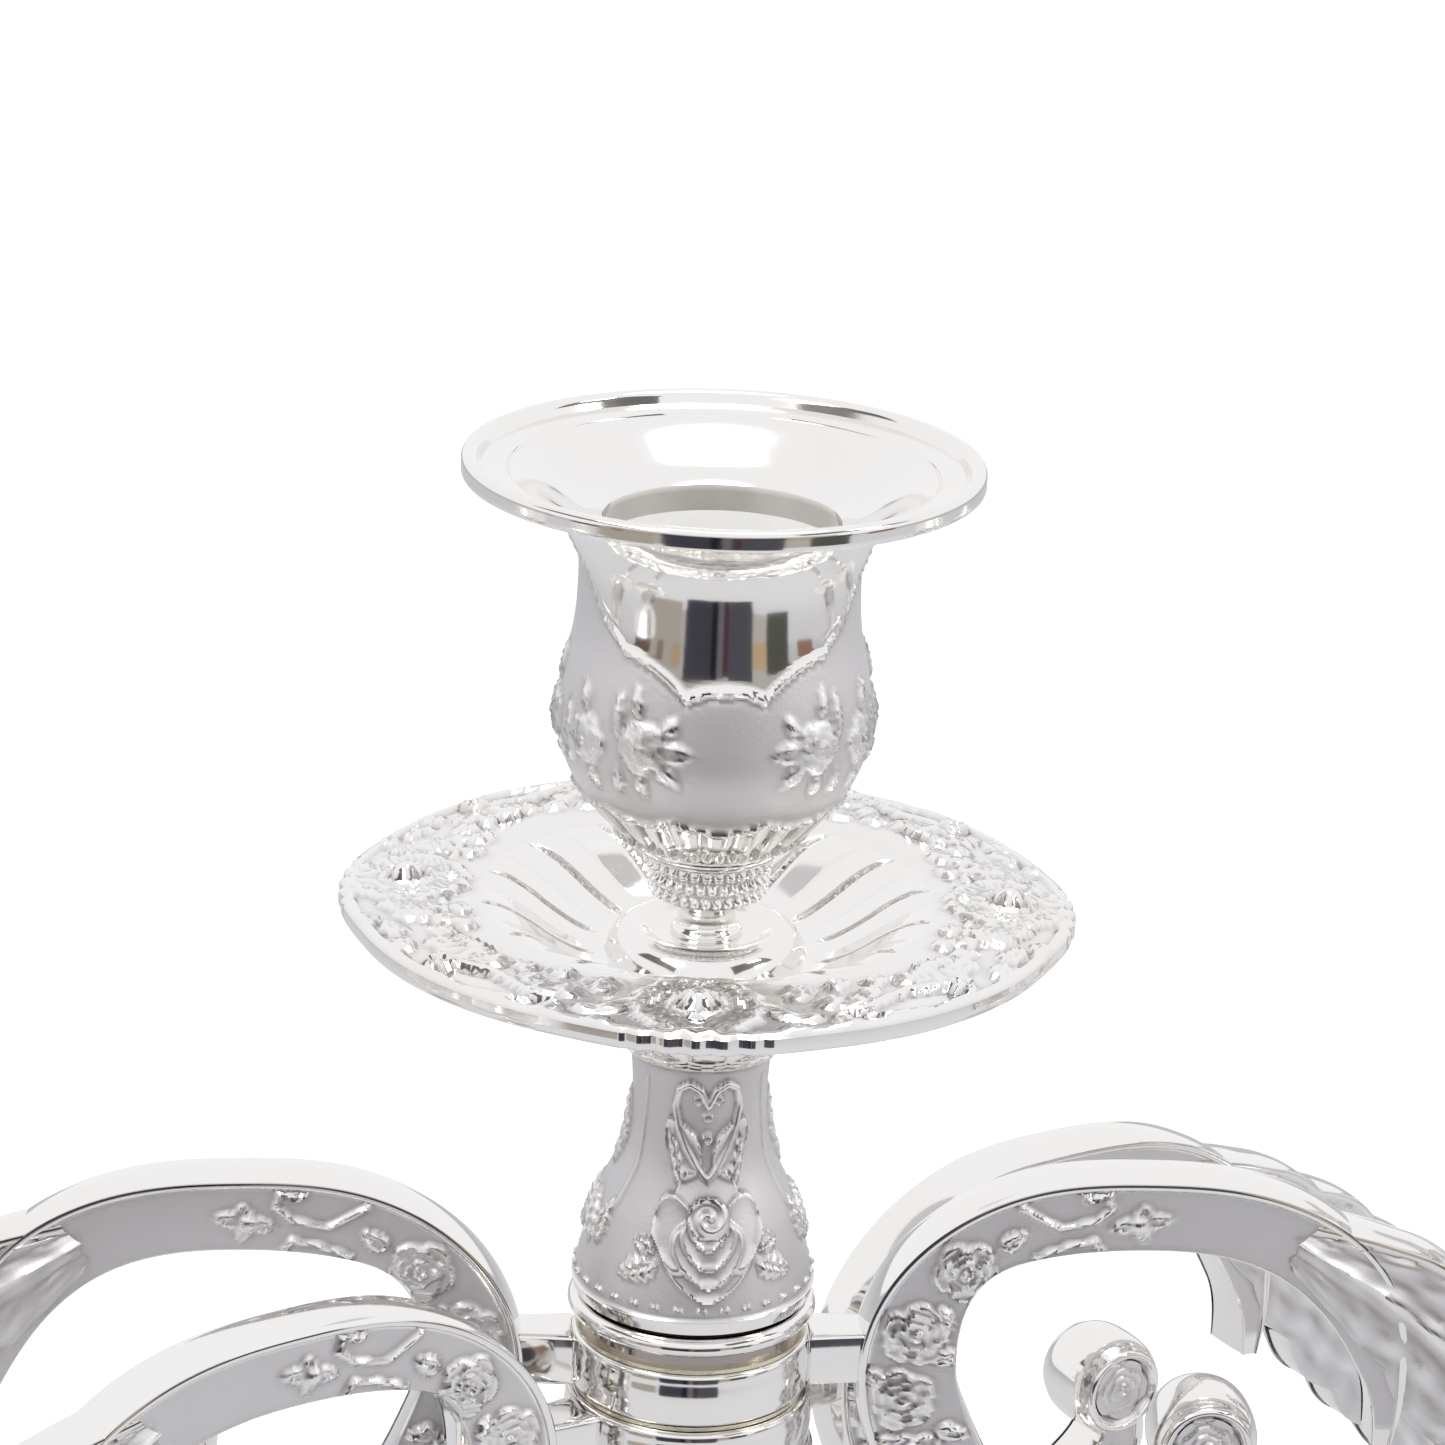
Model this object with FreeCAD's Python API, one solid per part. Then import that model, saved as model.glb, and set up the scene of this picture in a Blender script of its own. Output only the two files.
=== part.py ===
import FreeCAD, Part
import math
import os
from FreeCAD import Vector

# Five-light table candelabra: silver-plated zinc castings stacked on one threaded rod.
# Two yokes of two scroll arms each turn on a sleeve in the column, one above the other.
# Millimetres, +Z up. The origin is the middle of the felt where it meets the table,
# and +X runs out along the right-hand arm of the upper yoke.

# ---- driving dimensions -------------------------------------------------------------

# candle cup
CANDLE_BORE_R = 11.0          # takes a 22 mm taper
BORE_DEPTH = 21.0
FUNNEL_DEPTH = 9.0            # flared mouth above the bore
LIP_OVERHANG = 13.0           # lip radius beyond the bore radius
LIP_HEIGHT = 1.9              # thickness of the rolled lip
LIP_ROLL = 1.6                # width of the rolled lip
NECK_WALL = 2.35
NECK_DROP = 13.6              # lip top to neck
BELLY_WALL = 3.95
BELLY_DROP = 12.1             # neck to belly
CUP_FLOOR = 7.0               # bore bottom to waist ring
WAIST_R = 7.6
WAIST_HEIGHT = 1.5
BEAD_BAND_R = 5.4
BEAD_BAND_HEIGHT = 4.2
CUP_FOOT_R = 3.4
CUP_FOOT_HEIGHT = 3.7

# drip pan
PAN_R = 34.7                  # to the tips of the four rosette lobes
PAN_WALL = 1.4
PAN_RISE = 7.4                # top of the flange above the pan's seat
PAN_FLANGE_R = 21.8           # where the dish ends and the ornamented flange begins
PAN_EDGE_DROP = 0.6           # outer edge below the top of the flange
PAN_EDGE = 1.7                # height of the outer edge
PAN_SEAT_R = 7.0
PAN_FLOOR = 1.9               # bottom of the dish above the pan's seat
PAN_BOSS_R = 9.6              # foot of the raised ring round the cup
PAN_BOSS_HEIGHT = 3.6
PAN_SCALLOP = 1.4             # how far the edge dips between lobes
EDGE_TRIM = 0.5               # blank left outside a scalloped edge before it is cut
CENTRE_PAN_TURN = -6.0        # degrees from the upper yoke to a lobe of the centre pan

# threaded studs that hold cup and pan down
STUD_R = 2.0
STUD_INTO_CUP = 6.0
STUD_INTO_SEAT = 8.0
THREAD_CLEARANCE = 0.05
HOLE_CLEARANCE = 0.15

# scroll arm
ARM_REACH = 146.0             # column axis to candle axis
ARM_THICKNESS = 6.0
ARM_WIDTH = 7.6
ARM_SEAT_RISE = 1.1           # pan seat above the underside of the yoke ring
ARM_BOSS_R = 6.2
ARM_BOSS_HEIGHT = 7.5
ARM_BOSS_RIM = 1.2
SCROLL_ROOT_R = 21.1          # middle of the scroll's upright, beside the hub
SCROLL_LENGTH = 47.6          # upright to the tail of the C-scroll
SCROLL_RISE = 18.1            # top of the scroll's middle line above the ring's underside
SCROLL_DROP = 20.5            # bottom of the scroll's middle line below it
BOW_DROP = 34.4               # lowest point of the outer bow's middle line below it
EYE_R = 5.4
EYE_THICKNESS = 8.6
TAB_WIDTH = 6.8
TAB_INSET = 0.1               # tab shorter than its ring at each end

# swivel hub
SLEEVE_R = 8.0
SWIVEL_CLEARANCE = 0.06
AXIAL_PLAY = 0.05
RING_HEIGHT = 5.5
UPPER_RING_R = 11.7
LOWER_RING_R = 12.1
WASHER_HEIGHT = 0.4
WASHER_SET_BACK = 0.5         # washer edge inside the ring edge
HUB_SEAT_R = 12.4
HUB_SEAT_HEIGHT = 5.0
YOKE_CROSSING = 28.0          # degrees between the yokes at rest

# column and tie rod
ROD_R = 3.0
ROD_CLEARANCE = 0.4
ROD_INTO_STEM = 14.0
STEM_WALL = 2.4
STEM_WEB = 5.0                # solid ends of the hollow stems
UPPER_STEM_HEIGHT = 36.9
UPPER_STEM_R = 11.8
MIDDLE_STEM_HEIGHT = 88.0
MIDDLE_STEM_R = 13.0
KNOP_HEIGHT = 18.0
KNOP_R = 17.0
LOWER_STEM_HEIGHT = 90.0
LOWER_STEM_R = 15.5
BASE_COLLAR_HEIGHT = 7.0
BASE_COLLAR_R = 16.0

# base
BASE_R = 65.0                 # to the tips of the lobes
BASE_HEIGHT = 40.0
BASE_TOP_R = 13.5
BASE_WALL = 2.4
BASE_SCALLOP = 2.2
BASE_RIM_HEIGHT = 4.0
BASE_RIM_WIDTH = 3.0
FELT_HEIGHT = 1.2
PLATE_HEIGHT = 2.0
PLATE_CLEARANCE = 0.2
NUT_FLATS = 10.0
NUT_HEIGHT = 5.0
NUT_WASHER_R = 9.0
NUT_WASHER_HEIGHT = 1.6
ROD_BELOW_NUT = 2.0

# cast ornament of the base: main forms only, the finer carving is left out
BASE_ROSETTE_R = 8.8
BASE_ROSETTE_RISE = 0.5
BASE_KNOB_R = 2.2
BASE_KNOB_RISE = 1.9
BASE_ROSE_R = 3.6
BASE_ROSE_RISE = 1.0
BASE_ROSE_TURN = 25.5         # degrees from midway between rosettes
BASE_SHELL_REACH = 9.5
BASE_SHELL_RISE = 0.9
BASE_SHELL_TURN = 11.0
BASE_SHELL_INSET = 4.6        # hinge of a shell inside the rim
BASE_CORD_WIDTH = 1.2
BASE_CORD_RISE = 0.5
BASE_RIBS = 16
BASE_RIB_SHARE = 0.8          # rib width as a share of the rib pitch
BASE_RIB_RISE = 0.5

# cast ornament of the drip pans
PAN_ROSETTE_R = 6.1
PAN_ROSETTE_RISE = 0.35
PAN_KNOB_R = 1.5
PAN_KNOB_RISE = 1.8
PAN_ROSE_R = 2.5
PAN_ROSE_RISE = 1.0
PAN_ROSE_TURN = 17.5          # degrees from a front or back rosette
PAN_SHELL_REACH = 6.6
PAN_SHELL_RISE = 0.8
PAN_SHELL_TURN = 41.0
PAN_SHELL_INSET = 2.3         # hinge of a shell inside the lobe tips
PAN_CORD_WIDTH = 0.9
PAN_CORD_RISE = 0.4
SHELL_SPREAD = 44.0           # degrees from a shell's middle to its side

# ---- derived sizes ------------------------------------------------------------------

lip_r = CANDLE_BORE_R + LIP_OVERHANG
neck_r = CANDLE_BORE_R + NECK_WALL
belly_r = CANDLE_BORE_R + BELLY_WALL
cup_height = (FUNNEL_DEPTH + BORE_DEPTH + CUP_FLOOR + WAIST_HEIGHT
              + BEAD_BAND_HEIGHT + CUP_FOOT_HEIGHT)
stud_hole_r = STUD_R + THREAD_CLEARANCE
pan_hole_r = STUD_R + HOLE_CLEARANCE
rod_hole_r = ROD_R + ROD_CLEARANCE
ring_bore_r = SLEEVE_R + SWIVEL_CLEARANCE

base_bottom = FELT_HEIGHT
base_top = base_bottom + BASE_HEIGHT
collar_top = base_top + BASE_COLLAR_HEIGHT
lower_stem_top = collar_top + LOWER_STEM_HEIGHT
knop_top = lower_stem_top + KNOP_HEIGHT
middle_stem_top = knop_top + MIDDLE_STEM_HEIGHT
hub_top = middle_stem_top + HUB_SEAT_HEIGHT
lower_ring_bottom = hub_top + WASHER_HEIGHT + AXIAL_PLAY
middle_washer_bottom = lower_ring_bottom + RING_HEIGHT + AXIAL_PLAY
upper_ring_bottom = middle_washer_bottom + WASHER_HEIGHT + AXIAL_PLAY
top_washer_bottom = upper_ring_bottom + RING_HEIGHT + AXIAL_PLAY
sleeve_top = top_washer_bottom + WASHER_HEIGHT
centre_seat = sleeve_top + UPPER_STEM_HEIGHT


# ---- shared shapes ------------------------------------------------------------------

def edge_through(points):
    """Straight edge through two points, smooth curve through more. Points are (r, z)."""
    places = [Vector(r, 0, z) for r, z in points]
    if len(places) == 2:
        return Part.makeLine(places[0], places[1])
    curve = Part.BSplineCurve()
    curve.interpolate(places)
    return curve.toShape()


def turned(*runs):
    """Solid of revolution. Each run starts where the one before it ended; the last closes."""
    closing = [runs[-1][-1], runs[0][0]]
    edges = [edge_through(run) for run in runs]
    edges.append(edge_through(closing))
    face = Part.Face(Part.Wire(edges))
    return face.revolve(Vector(0, 0, 0), Vector(0, 0, 1), 360)


def flare(inner, outer, steps=6):
    """Quarter ellipse that leaves `inner` upright and reaches `outer` level."""
    width = outer[0] - inner[0]
    height = outer[1] - inner[1]
    turns = [math.pi / 2 * step / steps for step in range(steps + 1)]
    return [(outer[0] - width * math.cos(t), inner[1] + height * math.sin(t)) for t in turns]


def tube(outer_r, inner_r, height, bottom=0.0):
    outside = Part.makeCylinder(outer_r, height, Vector(0, 0, bottom))
    return outside.cut(Part.makeCylinder(inner_r, height, Vector(0, 0, bottom)))


def bump(angle, middle, half_width):
    """Smooth bump of height 1 at `middle`, nothing beyond `half_width`, in degrees."""
    away = abs((angle - middle + 180) % 360 - 180)
    return math.cos(math.pi / 2 * away / half_width) ** 2 if away < half_width else 0.0


def scalloped_prism(radius, dip, height):
    """Prism whose edge has four rosette lobes with a pair of shells between neighbours."""
    places = []
    for angle in range(0, 360, 3):
        lobes = sum(bump(angle, middle, 13) for middle in (0, 90, 180, 270))
        shells = sum(bump(angle, quarter + side, 9) for quarter in (45, 135, 225, 315)
                     for side in (-9, 9))
        r = radius - dip * (1 - lobes) + 0.55 * dip * shells
        turn = math.radians(angle)
        places.append(Vector(r * math.cos(turn), r * math.sin(turn), -EDGE_TRIM))
    curve = Part.BSplineCurve()
    curve.interpolate(places, PeriodicFlag=True)
    return Part.Face(Part.Wire(curve.toShape())).extrude(Vector(0, 0, height + 2 * EDGE_TRIM))


def around(radius, azimuth):
    turn = math.radians(azimuth)
    return radius * math.cos(turn), radius * math.sin(turn)


def upright(outline, height):
    """Prism over a flat outline of (x, y) corners."""
    corners = [Vector(x, y, 0) for x, y in outline]
    return Part.Face(Part.makePolygon(corners + corners[:1])).extrude(Vector(0, 0, height))


def posts(radius, centre_r, azimuths, height):
    return [Part.makeCylinder(radius, height, Vector(*around(centre_r, azimuth), 0))
            for azimuth in azimuths]


def shell(hinge_r, azimuth, reach, height):
    """Prism over a shell that opens inward from its hinge near the border's edge."""
    x, y = around(hinge_r, azimuth)
    corners = [(x, y)]
    for step in range(-3, 4):
        out_x, out_y = around(reach, azimuth + 180 + SHELL_SPREAD * step / 3)
        corners.append((x + out_x, y + out_y))
    return upright(corners, height)


def raised(over, wall, out, up, root, plans):
    """Skin standing off the turned line `over`, kept inside the plans; root is a share of the wall."""
    depth = wall * root
    top = [(r + out, z + up) for r, z in over]
    low = [(r - depth * out / up, z - depth) for r, z in over]
    skin = turned(low, [low[-1], top[-1]], top[::-1])
    return skin.common(Part.makeCompound(plans))


def cord(over, wall, middle, width, up, root, height):
    """Raised ring of the given width, `middle` from the axis."""
    return raised(over, wall, 0, up, root, [tube(middle + width / 2, middle - width / 2, height)])


def hollow_stem(height, radius, outline):
    """Hollow casting with solid ends; `outline` is (share of height, share of radius)."""
    outer = [(radius * across, height * up) for up, across in outline]
    body = turned([(0, 0), outer[0]], outer, [outer[-1], (0, height)])
    skin = [(place.x, place.z) for place in edge_through(outer).discretize(40)]
    inner = [(max(r - STEM_WALL, rod_hole_r + ROD_CLEARANCE), z) for r, z in skin
             if STEM_WEB < z < height - STEM_WEB]
    cavity = turned([(0, inner[0][1]), inner[0]], inner, [inner[-1], (0, inner[-1][1])])
    rod_hole = Part.makeCylinder(rod_hole_r, height)
    return body.cut(cavity).cut(rod_hole)


# ---- column castings, each built with its underside at z = 0 -------------------------

def base_dome():
    rim_in = BASE_R - BASE_RIM_WIDTH
    blank_r = BASE_R + EDGE_TRIM
    outer = [
        (rim_in, BASE_RIM_HEIGHT),
        (BASE_R * 0.80, BASE_HEIGHT * 0.20),
        (BASE_R * 0.62, BASE_HEIGHT * 0.27),
        (BASE_R * 0.45, BASE_HEIGHT * 0.40),
        (BASE_R * 0.30, BASE_HEIGHT * 0.62),
        (BASE_TOP_R + 1.5, BASE_HEIGHT * 0.85),
        (BASE_TOP_R, BASE_HEIGHT),
    ]
    inner = [(r - BASE_WALL, z - BASE_WALL) for r, z in outer[:-1]]
    inner.append((inner[-1][0], BASE_HEIGHT - STEM_WEB))
    plate_r = rim_in - BASE_WALL
    dome = turned(
        [(0, 0), (blank_r, 0)],
        [(blank_r, 0), (blank_r, BASE_RIM_HEIGHT * 0.6)],
        [(blank_r, BASE_RIM_HEIGHT * 0.6), (rim_in, BASE_RIM_HEIGHT)],
        outer,
        [outer[-1], (0, BASE_HEIGHT)],
    )
    room = turned(
        [(0, 0), (plate_r, 0)],
        [(plate_r, 0), inner[0]],
        inner,
        [inner[-1], (0, BASE_HEIGHT - STEM_WEB)],
    )
    recess = Part.makeCylinder(plate_r + PLATE_CLEARANCE, PLATE_HEIGHT)
    rod_hole = Part.makeCylinder(rod_hole_r, BASE_HEIGHT)
    edge = scalloped_prism(BASE_R, BASE_SCALLOP, BASE_HEIGHT)
    border = outer[:3]
    throat = outer[2:6]
    middle = (border[0][0] + border[-1][0]) / 2
    quarters = (0, 90, 180, 270)
    roses = [quarter + 45 + side * BASE_ROSE_TURN for quarter in quarters for side in (-1, 1)]
    shells = [shell(rim_in - BASE_SHELL_INSET, quarter + 45 + side * BASE_SHELL_TURN,
                    BASE_SHELL_REACH, BASE_HEIGHT)
              for quarter in quarters for side in (-1, 1)]
    rib_in = throat[-1][0]
    rib_out = throat[0][0] - BASE_CORD_WIDTH
    half = 180 / BASE_RIBS * BASE_RIB_SHARE
    ribs = [upright([around(rib_in, azimuth - half), around(rib_out, azimuth - half),
                     around(rib_out, azimuth + half), around(rib_in, azimuth + half)], BASE_HEIGHT)
            for azimuth in [360 / BASE_RIBS * rib for rib in range(BASE_RIBS)]]
    ornament = [
        raised(border, BASE_WALL, 0, BASE_ROSETTE_RISE, 0.38,
               posts(BASE_ROSETTE_R, middle, quarters, BASE_HEIGHT)),
        raised(border, BASE_WALL, 0, BASE_KNOB_RISE, 0.25, posts(BASE_KNOB_R, middle, quarters, BASE_HEIGHT)),
        raised(border, BASE_WALL, 0, BASE_ROSE_RISE, 0.30, posts(BASE_ROSE_R, middle, roses, BASE_HEIGHT)),
        raised(border, BASE_WALL, 0, BASE_SHELL_RISE, 0.34, shells),
        cord(outer[1:4], BASE_WALL, border[-1][0] + BASE_CORD_WIDTH / 2, BASE_CORD_WIDTH, BASE_CORD_RISE,
             0.42, BASE_HEIGHT),
        raised(throat, BASE_WALL, BASE_RIB_RISE, BASE_RIB_RISE, 0.31, ribs),
    ]
    return dome.cut(room).cut(recess).cut(rod_hole).fuse(ornament).common(edge)


def base_collar():
    half = BASE_COLLAR_HEIGHT / 2
    neck = BASE_TOP_R
    return turned(
        [(rod_hole_r, 0), (neck, 0)],
        [(neck, 0), (BASE_COLLAR_R, half), (neck, BASE_COLLAR_HEIGHT)],
        [(neck, BASE_COLLAR_HEIGHT), (rod_hole_r, BASE_COLLAR_HEIGHT)],
    )


def lower_stem():
    outline = [(0.0, 0.62), (0.05, 0.66), (0.16, 0.90), (0.28, 1.0), (0.42, 0.90),
               (0.60, 0.62), (0.78, 0.48), (0.92, 0.47), (1.0, 0.56)]
    return hollow_stem(LOWER_STEM_HEIGHT, LOWER_STEM_R, outline)


def knop():
    neck = LOWER_STEM_R * 0.56
    half = KNOP_HEIGHT / 2
    return turned(
        [(rod_hole_r, 0), (neck, 0)],
        [(neck, 0), (neck, KNOP_HEIGHT * 0.12)],
        [(neck, KNOP_HEIGHT * 0.12), (KNOP_R * 0.9, KNOP_HEIGHT * 0.3), (KNOP_R, half),
         (KNOP_R * 0.9, KNOP_HEIGHT * 0.7), (neck, KNOP_HEIGHT * 0.88)],
        [(neck, KNOP_HEIGHT * 0.88), (neck, KNOP_HEIGHT)],
        [(neck, KNOP_HEIGHT), (rod_hole_r, KNOP_HEIGHT)],
    )


def middle_stem():
    outline = [(0.0, 0.66), (0.04, 0.60), (0.16, 0.50), (0.34, 0.52), (0.52, 0.66),
               (0.70, 0.90), (0.82, 1.0), (0.92, 0.95), (1.0, 0.82)]
    return hollow_stem(MIDDLE_STEM_HEIGHT, MIDDLE_STEM_R, outline)


def hub_seat():
    """Flange that the lower yoke rests on, with the sleeve that both yokes turn on."""
    flange = tube(HUB_SEAT_R, rod_hole_r, HUB_SEAT_HEIGHT)
    sleeve = tube(SLEEVE_R, rod_hole_r, sleeve_top - middle_stem_top)
    return flange.fuse(sleeve).removeSplitter()


def upper_stem():
    height = UPPER_STEM_HEIGHT
    radius = UPPER_STEM_R
    foot_r = radius * 0.90
    roll_r = radius * 1.02
    roll_low = height * 0.035
    roll_high = height * 0.095
    shoulder = height * 0.105
    outline = [(shoulder, 0.97), (0.15 * height, 1.0), (0.20 * height, 0.983),
               (0.306 * height, 0.898), (0.412 * height, 0.78), (0.518 * height, 0.636),
               (0.62 * height, 0.585), (0.715 * height, 0.589), (0.81 * height, 0.614),
               (0.946 * height, 0.67), (height, 0.73)]
    bulge = [(radius * across, z) for z, across in outline]
    body = turned(
        [(0, 0), (foot_r, 0)],
        [(foot_r, 0), (foot_r, roll_low)],
        [(foot_r, roll_low), (roll_r, (roll_low + roll_high) / 2), (foot_r, roll_high)],
        [(foot_r, roll_high), (foot_r, shoulder)],
        [(foot_r, shoulder), bulge[0]],
        bulge,
        [bulge[-1], (0, height)],
    )
    rod_thread = Part.makeCylinder(ROD_R + THREAD_CLEARANCE, ROD_INTO_STEM)
    stud_thread = Part.makeCylinder(stud_hole_r, STUD_INTO_SEAT, Vector(0, 0, height - STUD_INTO_SEAT))
    return body.cut(rod_thread).cut(stud_thread)


# ---- candle cup, drip pan and stud, each with its underside at z = 0 -----------------

def candle_cup():
    top = cup_height
    neck_z = top - NECK_DROP
    belly_z = neck_z - BELLY_DROP
    bore_floor = top - FUNNEL_DEPTH - BORE_DEPTH
    waist_z = bore_floor - CUP_FLOOR
    band_top = waist_z - WAIST_HEIGHT
    band_low = band_top - BEAD_BAND_HEIGHT
    mouth_r = lip_r - LIP_ROLL
    lip_low = top - LIP_HEIGHT
    belly = [(WAIST_R, waist_z), (belly_r * 0.74, waist_z + CUP_FLOOR * 0.5),
             (belly_r * 0.93, belly_z - BELLY_DROP * 0.32), (belly_r, belly_z),
             ((belly_r + neck_r) / 2 + 0.2, (belly_z + neck_z) / 2), (neck_r, neck_z)]
    under_lip = flare((neck_r, neck_z), (mouth_r, lip_low))
    funnel = flare((CANDLE_BORE_R, top - FUNNEL_DEPTH), (mouth_r, top - LIP_HEIGHT / 2))
    body = turned(
        [(0, 0), (CUP_FOOT_R, 0)],
        [(CUP_FOOT_R, 0), (CUP_FOOT_R, band_low)],
        [(CUP_FOOT_R, band_low), (BEAD_BAND_R, band_low)],
        [(BEAD_BAND_R, band_low), (BEAD_BAND_R, band_top)],
        [(BEAD_BAND_R, band_top), (WAIST_R, band_top)],
        [(WAIST_R, band_top), (WAIST_R, waist_z)],
        belly,
        under_lip,
        [(mouth_r, lip_low), (lip_r - LIP_ROLL * 0.3, lip_low), (lip_r, top - LIP_HEIGHT * 0.5),
         (lip_r - LIP_ROLL * 0.3, top), (mouth_r, top - LIP_HEIGHT / 2)],
        funnel[::-1],
        [(CANDLE_BORE_R, top - FUNNEL_DEPTH), (CANDLE_BORE_R, bore_floor)],
        [(CANDLE_BORE_R, bore_floor), (0, bore_floor)],
    )
    return body.cut(Part.makeCylinder(stud_hole_r, STUD_INTO_CUP))


def drip_pan():
    blank_r = PAN_R + EDGE_TRIM
    dish = PAN_FLANGE_R - PAN_BOSS_R
    rise = PAN_RISE - PAN_FLOOR
    shape = [(0.0, 0.0), (0.22, 0.07), (0.47, 0.36), (0.75, 0.77), (1.0, 0.96)]
    over = [(PAN_BOSS_R + dish * across, PAN_FLOOR + rise * up) for across, up in shape]
    over.append(((PAN_FLANGE_R + PAN_R) / 2, PAN_RISE))
    over.append((blank_r, PAN_RISE - PAN_EDGE_DROP))
    under = [(r, z - PAN_WALL) for r, z in over[:-1]]
    under.append((blank_r, PAN_RISE - PAN_EDGE_DROP - PAN_EDGE))
    body = turned(
        [(pan_hole_r, 0), (PAN_SEAT_R, 0)],
        [(PAN_SEAT_R, 0), under[0]],
        under,
        [under[-1], over[-1]],
        over[::-1],
        [over[0], (PAN_BOSS_R * 0.93, PAN_BOSS_HEIGHT * 0.8), (PAN_BOSS_R * 0.8, PAN_BOSS_HEIGHT),
         (PAN_BOSS_R * 0.65, PAN_BOSS_HEIGHT)],
        [(PAN_BOSS_R * 0.65, PAN_BOSS_HEIGHT), (pan_hole_r, PAN_BOSS_HEIGHT)],
    )
    border = over[-3:]
    middle = border[1][0]
    height = PAN_RISE + PAN_KNOB_RISE
    roses = (PAN_ROSE_TURN, 180 - PAN_ROSE_TURN, 180 + PAN_ROSE_TURN, -PAN_ROSE_TURN)
    shells = [shell(PAN_R - PAN_SHELL_INSET, azimuth, PAN_SHELL_REACH, height)
              for azimuth in (PAN_SHELL_TURN, 180 - PAN_SHELL_TURN, 180 + PAN_SHELL_TURN, -PAN_SHELL_TURN)]
    quarters = (0, 90, 180, 270)
    ornament = [
        raised(border, PAN_WALL, 0, PAN_ROSETTE_RISE, 0.46, posts(PAN_ROSETTE_R, middle, quarters, height)),
        raised(border, PAN_WALL, 0, PAN_KNOB_RISE, 0.36, posts(PAN_KNOB_R, middle, quarters, height)),
        raised(border, PAN_WALL, 0, PAN_ROSE_RISE, 0.39, posts(PAN_ROSE_R, middle, roses, height)),
        raised(border, PAN_WALL, 0, PAN_SHELL_RISE, 0.43, shells),
        cord(over[-4:-1], PAN_WALL, PAN_FLANGE_R + PAN_CORD_WIDTH / 2, PAN_CORD_WIDTH, PAN_CORD_RISE,
             0.5, height),
        cord(border, PAN_WALL, PAN_R - PAN_SCALLOP, PAN_CORD_WIDTH, PAN_CORD_RISE, 0.32, height),
    ]
    return body.fuse(ornament).common(scalloped_prism(PAN_R, PAN_SCALLOP, height))


def cup_stud():
    length = STUD_INTO_SEAT + PAN_BOSS_HEIGHT + STUD_INTO_CUP - 2 * HOLE_CLEARANCE
    return Part.makeCylinder(STUD_R, length, Vector(0, 0, HOLE_CLEARANCE - STUD_INTO_SEAT))


# ---- scroll arm, lying in the XZ plane with z = 0 at the underside of its ring -------

def scroll_spine():
    """Middle line of the C-scroll, from under its eye round to its tapered tail."""
    lower = [(0.65, -0.47, 0.66), (0.655, -0.61, 0.74), (0.58, -0.84, 0.86), (0.45, -1.0, 0.98),
             (0.29, -0.97, 1.12), (0.135, -0.70, 1.26), (0.04, -0.31, 1.36)]
    upper = [(0.0, 0.01, 1.32), (0.006, 0.31, 1.24), (0.037, 0.535, 1.10), (0.13, 0.81, 0.95),
             (0.25, 0.945, 1.0), (0.475, 1.0, 1.0), (0.67, 0.95, 1.02), (0.81, 0.80, 1.06),
             (0.92, 0.53, 1.04), (0.98, 0.17, 0.74)]
    tail = [(1.0, 0.09, 0.46), (0.995, 0.33, 0.26)]
    spine = [(x, SCROLL_DROP * z, w) for x, z, w in lower]
    spine += [(x, SCROLL_RISE * z, w) for x, z, w in upper]
    spine += [(x, -SCROLL_DROP * z, w) for x, z, w in tail]
    return [(SCROLL_ROOT_R + SCROLL_LENGTH * x, z, ARM_WIDTH * w) for x, z, w in spine]


def bow_spine():
    """Middle line of the outer bow, from the scroll's shoulder to under the candle."""
    start_r = SCROLL_ROOT_R + SCROLL_LENGTH * 0.80
    start_z = SCROLL_RISE * 0.83
    fall = start_z + BOW_DROP
    reach = ARM_REACH - start_r
    shape = [(0.0, 0.0, 0.70), (0.115, 0.13, 1.60), (0.235, 0.325, 2.35), (0.335, 0.51, 2.45),
             (0.435, 0.76, 1.65), (0.545, 0.94, 1.28), (0.67, 1.0, 1.08), (0.80, 0.92, 0.96),
             (0.91, 0.71, 0.88), (0.975, 0.47, 0.84), (1.0, 0.30, 0.84)]
    return [(start_r + reach * x, start_z - fall * z, ARM_WIDTH * w) for x, z, w in shape]


def ribbon(spine, thickness, samples=90):
    """Flat strip of changing width along a smooth middle line."""
    line = Part.BSplineCurve()
    line.interpolate([Vector(r, width / 2, z) for r, z, width in spine])
    inner = []
    outer = []
    for step in range(samples + 1):
        at = line.FirstParameter + (line.LastParameter - line.FirstParameter) * step / samples
        place = line.value(at)
        heading = line.tangent(at)[0]
        across = Vector(-heading.z, 0, heading.x).normalize() * place.y
        middle = Vector(place.x, 0, place.z)
        inner.append(middle - across)
        outer.append(middle + across)
    sides = []
    for side in (inner, outer[::-1]):
        curve = Part.BSplineCurve()
        curve.interpolate(side)
        sides.append(curve.toShape())
    ends = [Part.makeLine(inner[-1], outer[-1]), Part.makeLine(outer[0], inner[0])]
    face = Part.Face(Part.Wire([sides[0], ends[0], sides[1], ends[1]]))
    face.translate(Vector(0, -thickness / 2, 0))
    return face.extrude(Vector(0, thickness, 0))


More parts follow.
